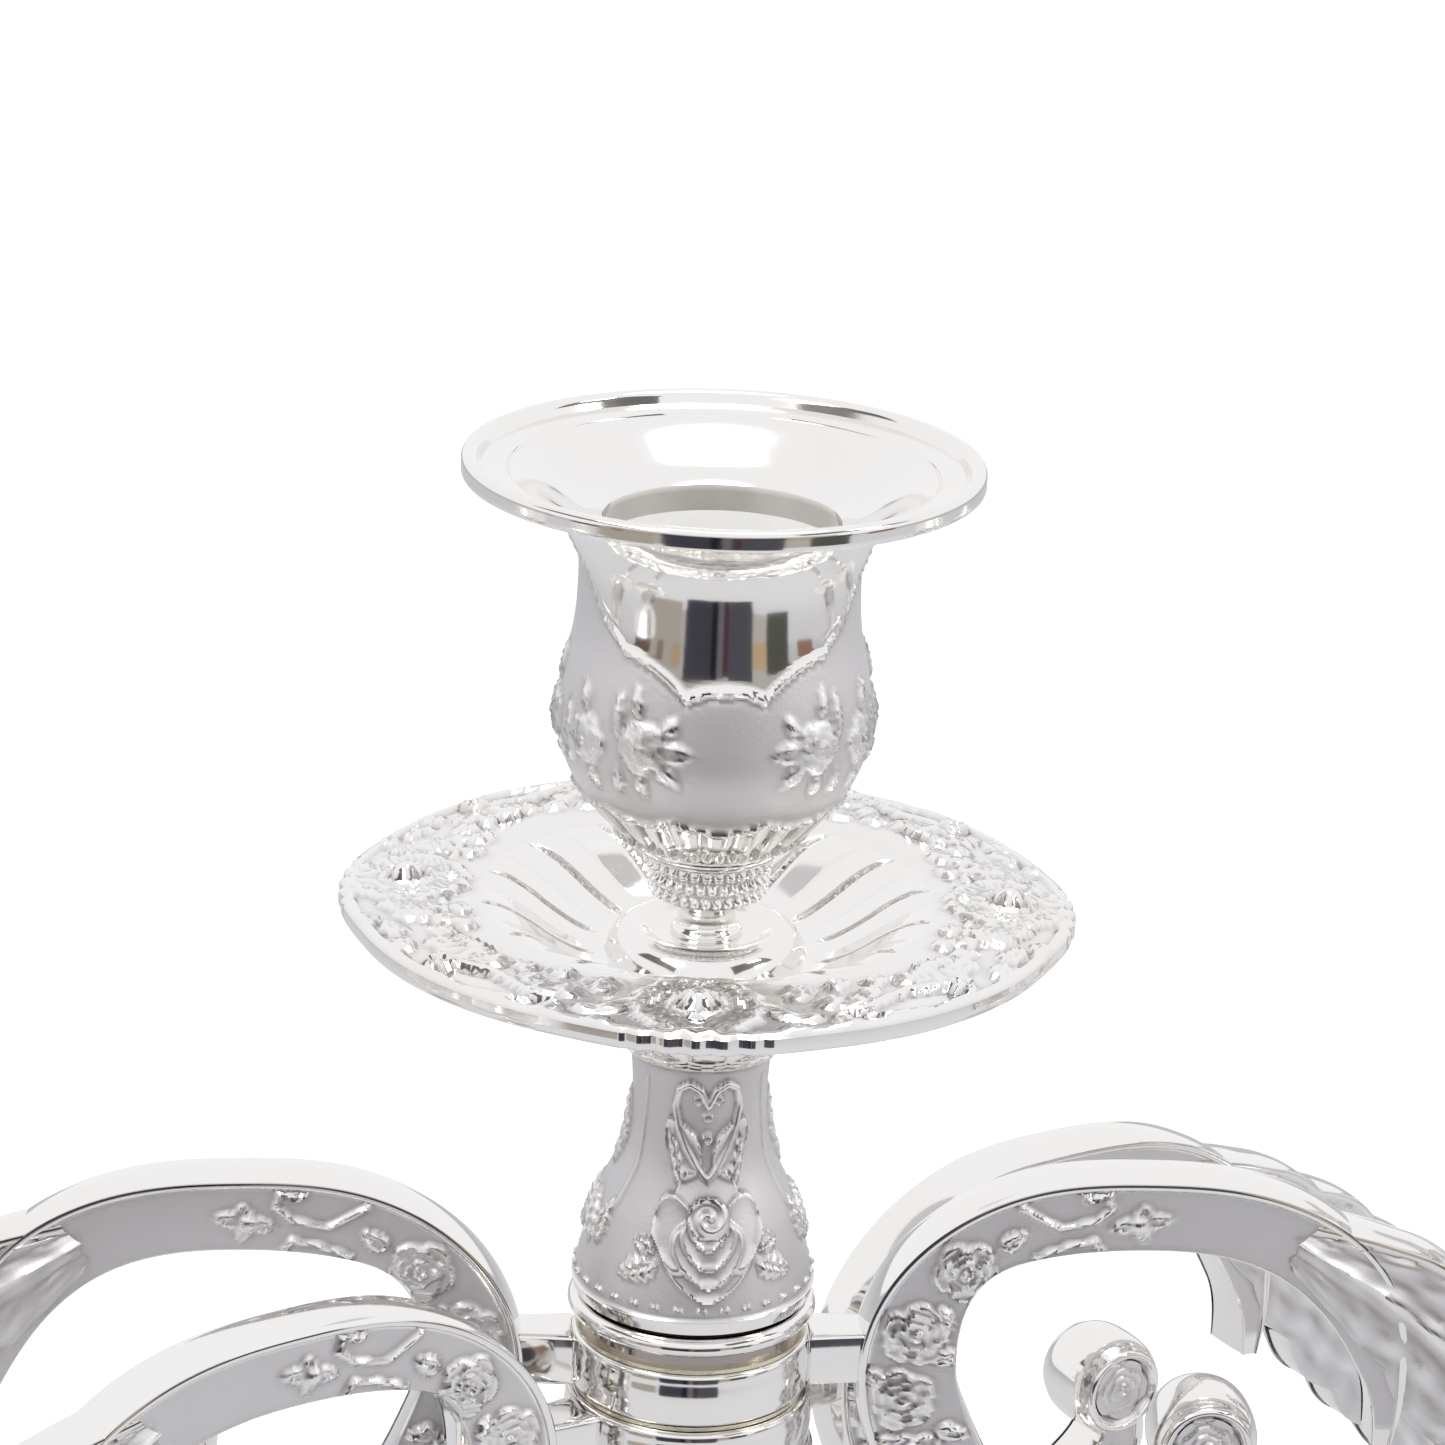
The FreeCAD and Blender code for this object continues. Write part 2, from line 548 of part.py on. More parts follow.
def scroll_arm(ring_r):
    scroll = ribbon(scroll_spine(), ARM_THICKNESS)
    bow = ribbon(bow_spine(), ARM_THICKNESS)
    eye_r, eye_z = scroll_spine()[0][:2]
    eye_at = Vector(eye_r - EYE_R * 0.2, -EYE_THICKNESS / 2, eye_z + EYE_R * 0.6)
    eye = Part.makeCylinder(EYE_R, EYE_THICKNESS, eye_at, Vector(0, 1, 0))
    tab = Part.makeBox(SCROLL_ROOT_R, TAB_WIDTH, RING_HEIGHT - 2 * TAB_INSET,
                       Vector(0, -TAB_WIDTH / 2, TAB_INSET))
    ring_room = Part.makeCylinder(ring_r, RING_HEIGHT)
    boss_low = ARM_SEAT_RISE - ARM_BOSS_HEIGHT
    boss = turned(
        [(0, boss_low), (ARM_BOSS_R * 0.55, boss_low)],
        [(ARM_BOSS_R * 0.55, boss_low), (ARM_BOSS_R * 0.72, boss_low + ARM_BOSS_HEIGHT * 0.5),
         (ARM_BOSS_R, ARM_SEAT_RISE - ARM_BOSS_RIM)],
        [(ARM_BOSS_R, ARM_SEAT_RISE - ARM_BOSS_RIM), (ARM_BOSS_R, ARM_SEAT_RISE)],
        [(ARM_BOSS_R, ARM_SEAT_RISE), (0, ARM_SEAT_RISE)],
    )
    boss.translate(Vector(ARM_REACH, 0, 0))
    stud_hole = Part.makeCylinder(stud_hole_r, STUD_INTO_SEAT,
                                  Vector(ARM_REACH, 0, ARM_SEAT_RISE - STUD_INTO_SEAT))
    arm = scroll.fuse([bow, eye, tab, boss]).cut(ring_room).cut(stud_hole)
    return arm.removeSplitter()


# ---- base fittings ------------------------------------------------------------------

def hexagon_nut():
    corner = NUT_FLATS / math.sqrt(3)
    corners = [Vector(corner * math.cos(math.radians(60 * n)), corner * math.sin(math.radians(60 * n)), 0)
               for n in range(7)]
    blank = Part.Face(Part.makePolygon(corners)).extrude(Vector(0, 0, NUT_HEIGHT))
    return blank.cut(Part.makeCylinder(ROD_R + THREAD_CLEARANCE, NUT_HEIGHT))


# ---- placing ------------------------------------------------------------------------

def lifted(shape, height):
    moved = shape.copy()
    moved.translate(Vector(0, 0, height))
    return moved


def on_arm(shape, azimuth, height, reach=0.0):
    moved = shape.copy()
    moved.translate(Vector(reach, 0, height))
    moved.rotate(Vector(0, 0, 0), Vector(0, 0, 1), azimuth)
    return moved


nodes = {}

# base: felt under a steel plate that closes the cast dome, nut and washer inside
plate_r = BASE_R - BASE_RIM_WIDTH - BASE_WALL
washer_bottom = base_top - STEM_WEB - NUT_WASHER_HEIGHT
nut_bottom = washer_bottom - NUT_HEIGHT
nodes["felt_pad"] = Part.makeCylinder(BASE_R - BASE_SCALLOP * 1.2, FELT_HEIGHT)
nodes["ballast_plate"] = Part.makeCylinder(plate_r, PLATE_HEIGHT, Vector(0, 0, base_bottom))
nodes["base_dome"] = lifted(base_dome(), base_bottom)
nodes["rod_washer"] = tube(NUT_WASHER_R, rod_hole_r, NUT_WASHER_HEIGHT, washer_bottom)
nodes["rod_nut"] = lifted(hexagon_nut(), nut_bottom)
rod_bottom = nut_bottom - ROD_BELOW_NUT
rod_length = sleeve_top + ROD_INTO_STEM - HOLE_CLEARANCE - rod_bottom
nodes["tie_rod"] = Part.makeCylinder(ROD_R, rod_length, Vector(0, 0, rod_bottom))

# column, from the base up
nodes["base_collar"] = lifted(base_collar(), base_top)
nodes["lower_stem"] = lifted(lower_stem(), collar_top)
nodes["knop"] = lifted(knop(), lower_stem_top)
nodes["middle_stem"] = lifted(middle_stem(), knop_top)
nodes["hub_seat"] = lifted(hub_seat(), middle_stem_top)
nodes["upper_stem"] = lifted(upper_stem(), sleeve_top)

# three thin washers keep the yoke rings apart
washer_r = UPPER_RING_R - WASHER_SET_BACK
washers = [tube(washer_r, ring_bore_r, WASHER_HEIGHT, bottom)
           for bottom in (hub_top, middle_washer_bottom, top_washer_bottom)]
nodes["swivel_washers"] = Part.makeCompound(washers)

# one cup, pan and stud on the column and one on each arm
cup = candle_cup()
pan = drip_pan()
stud = cup_stud()
nodes["centre_pan"] = on_arm(pan, CENTRE_PAN_TURN, centre_seat)
nodes["centre_cup"] = lifted(cup, centre_seat + PAN_BOSS_HEIGHT)
nodes["centre_stud"] = lifted(stud, centre_seat)

yokes = {
    "upper": (upper_ring_bottom, UPPER_RING_R, 0.0),
    "lower": (lower_ring_bottom, LOWER_RING_R, YOKE_CROSSING),
}
for level, (ring_bottom, ring_r, azimuth) in yokes.items():
    nodes[level + "_yoke_ring"] = tube(ring_r, ring_bore_r, RING_HEIGHT, ring_bottom)
    arm = scroll_arm(ring_r)
    seat = ring_bottom + ARM_SEAT_RISE
    for side, half_turn in (("right", 0.0), ("left", 180.0)):
        name = level + "_" + side
        turn = azimuth + half_turn
        nodes[name + "_arm"] = on_arm(arm, turn, ring_bottom)
        nodes[name + "_pan"] = on_arm(pan, turn, seat, ARM_REACH)
        nodes[name + "_cup"] = on_arm(cup, turn, seat + PAN_BOSS_HEIGHT, ARM_REACH)
        nodes[name + "_stud"] = on_arm(stud, turn, seat, ARM_REACH)

os.makedirs("parts", exist_ok=True)
for name, shape in nodes.items():
    shape.exportStep("parts/" + name + ".step")
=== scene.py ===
import math
import bpy
import numpy as np
from mathutils import Matrix, Vector


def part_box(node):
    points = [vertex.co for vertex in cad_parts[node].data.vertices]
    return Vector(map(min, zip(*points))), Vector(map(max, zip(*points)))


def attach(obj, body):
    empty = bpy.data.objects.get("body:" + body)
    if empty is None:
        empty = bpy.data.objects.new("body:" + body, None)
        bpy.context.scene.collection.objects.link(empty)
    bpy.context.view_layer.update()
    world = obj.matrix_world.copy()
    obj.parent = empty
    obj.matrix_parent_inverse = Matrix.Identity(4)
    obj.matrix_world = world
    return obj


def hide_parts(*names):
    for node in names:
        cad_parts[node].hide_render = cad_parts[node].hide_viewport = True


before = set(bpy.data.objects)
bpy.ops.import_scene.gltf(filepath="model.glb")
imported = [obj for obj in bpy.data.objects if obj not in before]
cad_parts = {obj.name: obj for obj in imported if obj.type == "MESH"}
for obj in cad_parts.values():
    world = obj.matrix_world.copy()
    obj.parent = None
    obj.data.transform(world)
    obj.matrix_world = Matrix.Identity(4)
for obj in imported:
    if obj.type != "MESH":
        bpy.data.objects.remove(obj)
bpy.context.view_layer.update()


# ---- Studio: white sweep, camera and the dim side of the room ------------------------
# The candelabra stands on a white table in a white tent. Only the side it is looked at
# from is dim, with a dark figure in the middle, and bright silver shows both.

def in_scene(name, data):
    """Object that carries `data`, linked to the scene."""
    made = bpy.data.objects.new(name, data)
    bpy.context.scene.collection.objects.link(made)
    return made


def add_node(tree, kind, inputs, **settings):
    """Shader node with its settings made and each input fed by a socket or set to a value."""
    made = tree.nodes.new("ShaderNode" + kind)
    for key, value in settings.items():
        setattr(made, key, value)
    for key, value in inputs.items():
        if isinstance(value, bpy.types.NodeSocket):
            tree.links.new(value, made.inputs[key])
        else:
            made.inputs[key].default_value = value
    return made


def bare_material(name):
    made = bpy.data.materials.new(name)
    made.use_nodes = True
    made.node_tree.nodes.clear()
    return made, made.node_tree


view = bpy.data.cameras.new("studio_camera")
view.sensor_width = 36.0
view.lens = 120.6
view.clip_start = 0.02
camera = in_scene("studio_camera", view)
pitch, roll, heading = 0.3331, 0.0400, math.radians(5.2)
ahead = Vector((math.sin(heading) * math.cos(pitch), math.cos(heading) * math.cos(pitch), -math.sin(pitch)))
level = Vector((math.cos(heading), -math.sin(heading), 0.0))
upright = level.cross(ahead)
rightward = level * math.cos(roll) + upright * math.sin(roll)
upward = upright * math.cos(roll) - level * math.sin(roll)
turn = Matrix((rightward, upward, -ahead)).transposed().to_4x4()
camera.matrix_world = Matrix.Translation((-0.03773, -0.42309, 0.46983)) @ turn
bpy.context.scene.camera = camera
bpy.context.scene.view_settings.view_transform = "Standard"

surround = bpy.data.worlds.new("white_tent")
bpy.context.scene.world = surround
surround.use_nodes = True
tree = surround.node_tree
tree.nodes.clear()
rays = add_node(tree, "LightPath", {}).outputs
seen = add_node(tree, "Math", {0: rays["Is Camera Ray"], 1: rays["Is Glossy Ray"]}, operation="MAXIMUM")
seen = add_node(tree, "Math", {0: seen.outputs[0], 1: rays["Is Transmission Ray"]}, operation="MAXIMUM")
strength = add_node(tree, "MapRange", {"Value": seen.outputs[0], "To Min": 0.8, "To Max": 1.0})
tent_white = (0.985, 0.985, 1.0, 1)
glow = add_node(tree, "Background", {"Color": tent_white, "Strength": strength.outputs["Result"]})
add_node(tree, "OutputWorld", {0: glow.outputs[0]})


def paper(name, colour, to_lens, to_silver):
    """Matt white card that shows shadows, with a little light of its own for lens and silver."""
    made, tree = bare_material(name)
    rays = add_node(tree, "LightPath", {}).outputs
    for_silver = add_node(tree, "Math", {0: rays["Is Glossy Ray"], 1: to_silver}, operation="MULTIPLY")
    feeds = {0: rays["Is Camera Ray"], 1: to_lens, 2: for_silver.outputs[0]}
    level = add_node(tree, "Math", feeds, operation="MULTIPLY_ADD")
    lit = add_node(tree, "Emission", {"Strength": level.outputs[0]})
    matt = add_node(tree, "BsdfDiffuse", {"Color": (*colour, 1)})
    both = add_node(tree, "AddShader", {0: matt.outputs[0], 1: lit.outputs[0]})
    add_node(tree, "OutputMaterial", {0: both.outputs[0]})
    return made


bpy.ops.mesh.primitive_circle_add(vertices=96, radius=6.0, fill_type="NGON", location=(0, 0, 0))
floor = bpy.context.object
floor.name = "table_top"
floor.data.materials.append(paper("table_paper", (0.60, 0.60, 0.615), 0.62, 0.04))


def studio_card(name, azimuth, away, low, high, wide, colour):
    """Upright card that only the silver sees, facing the column from `away` metres."""
    bpy.ops.mesh.primitive_plane_add(size=1.0)
    card = bpy.context.object
    card.name = name
    card.data.transform(Matrix.Diagonal((wide, high - low, 1, 1)))
    card.data.transform(Matrix.Rotation(math.pi / 2, 4, "X"))
    card.data.transform(Matrix.Translation((0, -away, (low + high) / 2)))
    card.data.transform(Matrix.Rotation(math.radians(azimuth + 90), 4, "Z"))
    made, tree = bare_material(name)
    lit = add_node(tree, "Emission", {"Color": (*colour, 1)})
    add_node(tree, "OutputMaterial", {0: lit.outputs[0]})
    card.data.materials.append(made)
    card.visible_camera = False
    card.visible_shadow = False
    card.visible_diffuse = False


facing = -90.0 - math.degrees(heading)
studio_card("room_wall", facing, 0.80, 0.02, 0.47, 1.90, (0.46, 0.44, 0.42))
studio_card("room_haze", facing, 0.81, 0.46, 0.62, 1.90, (0.74, 0.72, 0.76))
studio_card("curtain_left", facing - 66, 0.90, 0.88, 1.36, 1.0, (0.17, 0.16, 0.15))
studio_card("curtain_right", facing + 66, 0.90, 0.88, 1.36, 1.0, (0.17, 0.16, 0.15))
figure = [("figure_left", -14.5, 21, 0.03, 0.37, (0.050, 0.050, 0.066)),
          ("figure_seam", -2.0, 4.5, 0.03, 0.37, (0.010, 0.009, 0.012)),
          ("figure_sleeve", 2.4, 4.4, 0.03, 0.36, (0.15, 0.145, 0.165)),
          ("figure_scarf", 6.8, 4.4, 0.03, 0.35, (0.065, 0.036, 0.040)),
          ("figure_right", 18.0, 18, 0.03, 0.37, (0.075, 0.075, 0.090))]
shelves = [("shelf_left", -41, 26, 0.06, 0.33, (0.40, 0.37, 0.33)),
           ("crate_tan", -31, 7, 0.22, 0.30, (0.42, 0.31, 0.21)),
           ("crate_brown", -42, 9, 0.21, 0.31, (0.24, 0.18, 0.14)),
           ("basket", -59, 13, 0.21, 0.30, (0.13, 0.085, 0.070)),
           ("tag_red", -77, 4, 0.26, 0.30, (0.45, 0.12, 0.11)),
           ("box_amber", 32.5, 11, 0.20, 0.31, (0.50, 0.37, 0.23)),
           ("screen", 47, 18, 0.14, 0.33, (0.085, 0.085, 0.075)),
           ("crate_right", 71, 14, 0.20, 0.31, (0.28, 0.16, 0.12))]
for away, things in ((0.56, figure), (0.58, shelves)):
    for name, turned_by, spread, low, high, colour in things:
        studio_card(name, facing + turned_by, away, low, high, away * math.radians(spread), colour)

lamp_aim = Vector((0, 0, 0.28))
for name, azimuth, elevation, away, size, power in (("key_left", 215, 48, 1.3, 0.55, 4.6),
                                                    ("key_right", -20, 40, 1.3, 0.45, 3.8),
                                                    ("top", 60, 80, 1.2, 0.60, 4.0)):
    lamp = bpy.data.lights.new(name, "AREA")
    lamp.shape = "DISK"
    lamp.size = size
    lamp.energy = power
    a, e = math.radians(azimuth), math.radians(elevation)
    spot = Vector((math.cos(a) * math.cos(e), math.sin(a) * math.cos(e), math.sin(e))) * away
    facing_in = spot.to_track_quat("Z", "Y").to_matrix().to_4x4()
    in_scene(name, lamp).matrix_world = Matrix.Translation(spot + lamp_aim) @ facing_in


# ---- Felt, steel plate, tie rod, nut, washers and studs ------------------------------
# Bought fittings. Green felt is glued under a steel plate that closes the base, and one
# zinc-plated rod with a nut and a washer pulls base, stems and hub together. Short studs
# of the same steel hold each cup and pan down, and brass shims part the turning rings.

def begin_finish(name):
    made = bpy.data.materials.new(name)
    made.use_nodes = True
    tree = made.node_tree
    return made, tree, tree.nodes["Principled BSDF"], add_node(tree, "TexCoord", {}).outputs["Object"]


def cloudy(tree, place, scale, detail=3.0, stretch=None):
    """Soft noise, `scale` patches a metre, drawn out along an axis where stretch says."""
    if stretch:
        place = add_node(tree, "Mapping", {"Vector": place, "Scale": stretch}).outputs["Vector"]
    return add_node(tree, "TexNoise", {"Vector": place, "Scale": scale, "Detail": detail}).outputs["Fac"]


def ramp(tree, value, low, high):
    """Number from low to high as value goes from 0.3 to 0.7."""
    limits = {"Value": value, "From Min": 0.3, "From Max": 0.7, "To Min": low, "To Max": high}
    return add_node(tree, "MapRange", limits).outputs["Result"]


def between(tree, share, first, second):
    """Colour that goes from first to second; each is a colour or another node's colour."""
    first, second = ((*c, 1) if isinstance(c, tuple) else c for c in (first, second))
    return add_node(tree, "Mix", {"Factor": share, 6: first, 7: second}, data_type="RGBA").outputs[2]


def grain(tree, shader, value, depth, strength=1.0):
    """Fine bump, `depth` metres deep."""
    bump = add_node(tree, "Bump", {"Height": value, "Distance": depth, "Strength": strength})
    tree.links.new(bump.outputs["Normal"], shader.inputs["Normal"])


def patchy(name, patches, dark, light, rough, metallic=1.0):
    """Finish that drifts between two colours, and two roughnesses if `rough` is a pair."""
    made, tree, shader, place = begin_finish(name)
    drift = cloudy(tree, place, *patches)
    tree.links.new(between(tree, ramp(tree, drift, 0, 1), dark, light), shader.inputs["Base Color"])
    if isinstance(rough, tuple):
        tree.links.new(ramp(tree, drift, *rough), shader.inputs["Roughness"])
    else:
        shader.inputs["Roughness"].default_value = rough
    shader.inputs["Metallic"].default_value = metallic
    return made, tree, shader, place, drift


felt, tree, shader, place, fuzz = patchy("green_felt", (1400, 6), (0.020, 0.045, 0.032),
                                         (0.060, 0.105, 0.078), 0.95, 0.0)
shader.inputs["Sheen Weight"].default_value = 0.4
grain(tree, shader, fuzz, 0.0004)

rolled, tree, shader, place, _ = patchy("rolled_steel", (90, 5), (0.36, 0.35, 0.35),
                                        (0.50, 0.50, 0.52), (0.34, 0.52))
grain(tree, shader, cloudy(tree, place, 900, 2, (1, 12, 1)), 0.00005)

zinc, tree, shader, place, _ = patchy("zinc_plated_steel", (260, 4), (0.56, 0.57, 0.60),
                                      (0.70, 0.70, 0.71), (0.22, 0.36))
turns = {"Vector": place, "Scale": 160, "Distortion": 0.0}
thread = add_node(tree, "TexWave", turns, bands_direction="Z")
grain(tree, shader, thread.outputs["Fac"], 0.0003)

zinc_flat, tree, shader, place, _ = patchy("zinc_plated_flats", (300, 4), (0.55, 0.55, 0.58),
                                           (0.69, 0.69, 0.70), (0.24, 0.40))
grain(tree, shader, cloudy(tree, place, 700, 2, (9, 1, 1)), 0.00004)

shim, tree, shader, place, _ = patchy("brass_shim", (320, 4), (0.76, 0.70, 0.54),
                                      (0.86, 0.81, 0.67), (0.16, 0.34))
grain(tree, shader, cloudy(tree, place, 1500, 2, (1, 1, 8)), 0.00003)

fittings = {"felt_pad": felt, "ballast_plate": rolled, "tie_rod": zinc, "rod_nut": zinc_flat,
            "rod_washer": zinc_flat, "swivel_washers": shim}
for stud in ("centre", "upper_right", "upper_left", "lower_right", "lower_left"):
    fittings[stud + "_stud"] = zinc
for node, finish in fittings.items():
    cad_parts[node].data.materials.clear()
    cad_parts[node].data.materials.append(finish)


# ---- Base ----------------------------------------------------------------------------
# Domed foot, cast hollow in zinc and silver plated, with the pans' rosette-and-shell
# border round a flared dome of flutes and rose sprays. The steel plate fits inside it.

def smooth_line(points, gap):
    """Smooth curve through points, in steps of about `gap`; two points give a straight run."""
    knots = np.array(points, float)
    along = np.concatenate([[0], np.cumsum(np.linalg.norm(np.diff(knots[:, :2], axis=0), axis=1))])
    count = max(2, int(round(along[-1] / gap)) + 1)
    at = np.linspace(0, along[-1], count)
    if len(knots) == 2:
        return np.stack([np.interp(at, along, column) for column in knots.T], 1)
    span = np.diff(along)
    system = np.zeros((len(knots), len(knots)))
    system[0, 0] = system[-1, -1] = 1
    pull = np.zeros_like(knots)
    for i in range(1, len(knots) - 1):
        system[i, i - 1:i + 2] = span[i - 1], 2 * (span[i - 1] + span[i]), span[i]
        pull[i] = 6 * ((knots[i + 1] - knots[i]) / span[i] - (knots[i] - knots[i - 1]) / span[i - 1])
    bend = np.linalg.solve(system, pull)
    piece = np.clip(np.searchsorted(along, at, side="right") - 1, 0, len(span) - 1)
    h = span[piece][:, None]
    a = ((along[piece + 1] - at) / span[piece])[:, None]
    b = 1 - a
    return (a * knots[piece] + b * knots[piece + 1]
            + ((a ** 3 - a) * bend[piece] + (b ** 3 - b) * bend[piece + 1]) * h * h / 6)


def outline(*runs):
    """Line in mm through runs of ((r, z) points, gap); each run starts where the last one ended."""
    line = smooth_line(*runs[0])
    for points, gap in runs[1:]:
        line = np.concatenate([line, smooth_line([tuple(line[-1]), *points], gap)[1:]])
    return line


def pick(piece):
    bpy.ops.object.select_all(action="DESELECT")
    piece.select_set(True)
    bpy.context.view_layer.objects.active = piece


def tidy(piece):
    """Merges doubles and turns every face outward."""
    pick(piece)
    bpy.ops.object.mode_set(mode="EDIT")
    bpy.ops.mesh.select_all(action="SELECT")
    bpy.ops.mesh.remove_doubles(threshold=0.000004)
    bpy.ops.mesh.normals_make_consistent(inside=False)
    bpy.ops.object.mode_set(mode="OBJECT")


def turn_up(name, line, steps, closed=False):
    """Spins an (r, z) line in millimetres round the column's axis."""
    mesh = bpy.data.meshes.new(name)
    edges = [(i, i + 1) for i in range(len(line) - 1)]
    if closed:
        edges.append((len(line) - 1, 0))
    mesh.from_pydata([(r / 1000, 0, z / 1000) for r, z in line], edges, [])
    piece = in_scene(name, mesh)
    pick(piece)
    bpy.ops.object.mode_set(mode="EDIT")
    bpy.ops.mesh.select_all(action="SELECT")
    bpy.ops.mesh.spin(steps=steps, angle=2 * math.pi, center=(0, 0, 0), axis=(0, 0, 1))
    bpy.ops.object.mode_set(mode="OBJECT")
    tidy(piece)
    return piece


def surface(piece):
    """Points and outward directions of a piece's vertices, and each one's angle and radius in mm."""
    count = len(piece.data.vertices)
    places, outward = np.zeros(count * 3), np.zeros(count * 3)
    piece.data.vertices.foreach_get("co", places)
    piece.data.vertices.foreach_get("normal", outward)
    places, outward = places.reshape(-1, 3) * 1000, outward.reshape(-1, 3)
    angle = np.degrees(np.arctan2(places[:, 1], places[:, 0]))
    return places, outward, angle, np.hypot(places[:, 0], places[:, 1])


def put(piece, places):
    piece.data.vertices.foreach_set("co", (places / 1000).ravel())
    piece.data.update()


def push_out(piece, shift):
    """Moves each vertex `shift` mm away from the axis."""
    places, _, angle, _ = surface(piece)
    places[:, 0] += shift * np.cos(np.radians(angle))
    places[:, 1] += shift * np.sin(np.radians(angle))
    put(piece, places)


def chase(piece, height, satin):
    """Moves each vertex out by `height` mm, and stores satin ground and painted shade in the hollows for the
    finish.
    """
    places, outward, _, _ = surface(piece)
    put(piece, places + outward * height[:, None])
    ends = np.zeros(len(piece.data.edges) * 2, np.int64)
    piece.data.edges.foreach_get("vertices", ends)
    ends = ends.reshape(-1, 2)
    near = np.bincount(ends.ravel(), minlength=len(height))
    level = height.copy()
    for _ in range(7):
        total = (np.bincount(ends[:, 0], level[ends[:, 1]], len(height))
                 + np.bincount(ends[:, 1], level[ends[:, 0]], len(height)))
        level = 0.4 * level + 0.6 * total / np.maximum(near, 1)
    # Painted shade: vertices lower than their smoothed neighbours get a dark share, stored in the finish's
    # green channel.
    full_hollow, full_proud = 0.46, 0.30
    hollow_shade = np.clip((level - height) / full_hollow, 0, 1)
    proud = np.clip((height - level) / full_proud, 0, 1)
    finish = np.stack([np.clip(satin - 0.7 * proud, 0, 1), hollow_shade, proud, np.ones_like(hollow_shade)], 1)
    stored = piece.data.color_attributes.new("finish", "FLOAT_COLOR", "POINT")
    stored.data.foreach_set("color", finish.astype(np.float32).ravel())
    pick(piece)
    bpy.ops.object.shade_smooth_by_angle(angle=math.radians(50))


def folded(angle, middle, period):
    """Angle from the nearest repeat of `middle`, in degrees."""
    return (angle - middle + period / 2) % period - period / 2


def rise(value, start, end):
    """0 before start, 1 after end, eased between them."""
    t = np.clip((value - start) / (end - start), 0, 1)
    return t * t * (3 - 2 * t)


def highest(relief, *others):
    """The highest of several reliefs at each point."""
    for other in others:
        relief = np.maximum(relief, other)
    return relief


def round_top(away, half):
    """Round ridge: 1 in its middle, 0 from `half` mm away."""
    return np.sqrt(np.clip(1 - (away / half) ** 2, 0, 1))


def lobes(angle, count):
    """Round ribs side by side, 0 in the grooves and 1 on the crests."""
    return np.sqrt(np.clip(1.02 - (folded(angle, 0, 360 / count) / (180 / count)) ** 2, 0, 1))


def ridge(x, y, points, width, height):
    """Round-topped cord of metal laid along straight runs between points."""
    away = np.full(x.shape, 99.0)
    for (ax, ay), (bx, by) in zip(points, points[1:]):
        ex, ey = bx - ax, by - ay
        t = np.clip(((x - ax) * ex + (y - ay) * ey) / (ex * ex + ey * ey), 0, 1)
        away = np.minimum(away, np.hypot(x - ax - t * ex, y - ay - t * ey))
    return height * round_top(away, width)


def knob(x, y, cx, cy, radius, height):
    return height * np.sqrt(np.clip(1 - ((x - cx) ** 2 + (y - cy) ** 2) / radius ** 2, 0, 1))


def leaf(x, y, cx, cy, length, width, heading, height, veins=5):
    """Pointed leaf from its stalk at (cx, cy), with a sunk midrib and side veins."""
    c, s = math.cos(math.radians(heading)), math.sin(math.radians(heading))
    u = ((x - cx) * c + (y - cy) * s) / length
    w = (-(x - cx) * s + (y - cy) * c) / width
    inside = (u > 0) & (u < 1)
    u = np.clip(u, 0, 1)
    half = np.sin(np.pi * u ** 0.75) ** 0.8 * (1 + 0.12 * np.cos(2 * np.pi * veins * u)) + 1e-6
    across = np.abs(w) / half
    body = np.sqrt(np.clip(1 - across ** 2, 0, 1)) * (0.65 + 0.35 * half)
    rib = 0.45 * np.exp(-(w / 0.16) ** 2) + 0.16 * np.cos(2 * np.pi * (veins * u - 1.4 * np.abs(w)))
    return np.where(inside & (across < 1), height * np.clip(body - rib * body, 0, 1), 0.0)


def rose(x, y, cx, cy, radius, height, lean=0.0):
    """Open rose: rings of overlapping petals with turned-up edges round a coiled bud."""
    u, v = (x - cx) / radius, (y - cy) / radius
    c, s = math.cos(math.radians(lean)), math.sin(math.radians(lean))
    u, v = u * c + v * s, v * c - u * s
    top = np.zeros(x.shape)
    rings = [(5, -90, 0.46, 0.56, 0.50), (5, -54, 0.31, 0.44, 0.72), (4, -80, 0.17, 0.31, 0.92)]
    for count, start, out, size, level in rings:
        for k in range(count):
            a = math.radians(start + 360 / count * k)
            d = np.hypot(u - out * math.cos(a), v - out * math.sin(a)) / size
            far = np.hypot(u, v) / (out + size)
            top = np.maximum(top, level * (0.55 + 0.45 * np.clip(far, 0, 1) ** 3) * (1 - rise(d, 0.90, 1.0)))
    d = np.hypot(u, v)
    coil = 0.82 + 0.18 * np.cos(np.arctan2(v, u) - d * 34)
    return height * np.maximum(top, np.where(d < 0.19, coil * (1 - 0.2 * d), 0))


def spray(x, y, cx, cy, size, height):
    """Rose with five leaves, the trade's stock ornament."""
    top = rose(x, y, cx, cy, size, height)
    for heading, reach in ((20, 1.9), (70, 1.5), (140, 1.7), (205, 1.9), (300, 1.6)):
        a = math.radians(heading)
        stalk = cx + size * 0.75 * math.cos(a), cy + size * 0.75 * math.sin(a)
        top = np.maximum(top, leaf(x, y, *stalk, size * (reach - 0.6), size * 0.34, heading, height * 0.6))
    return top


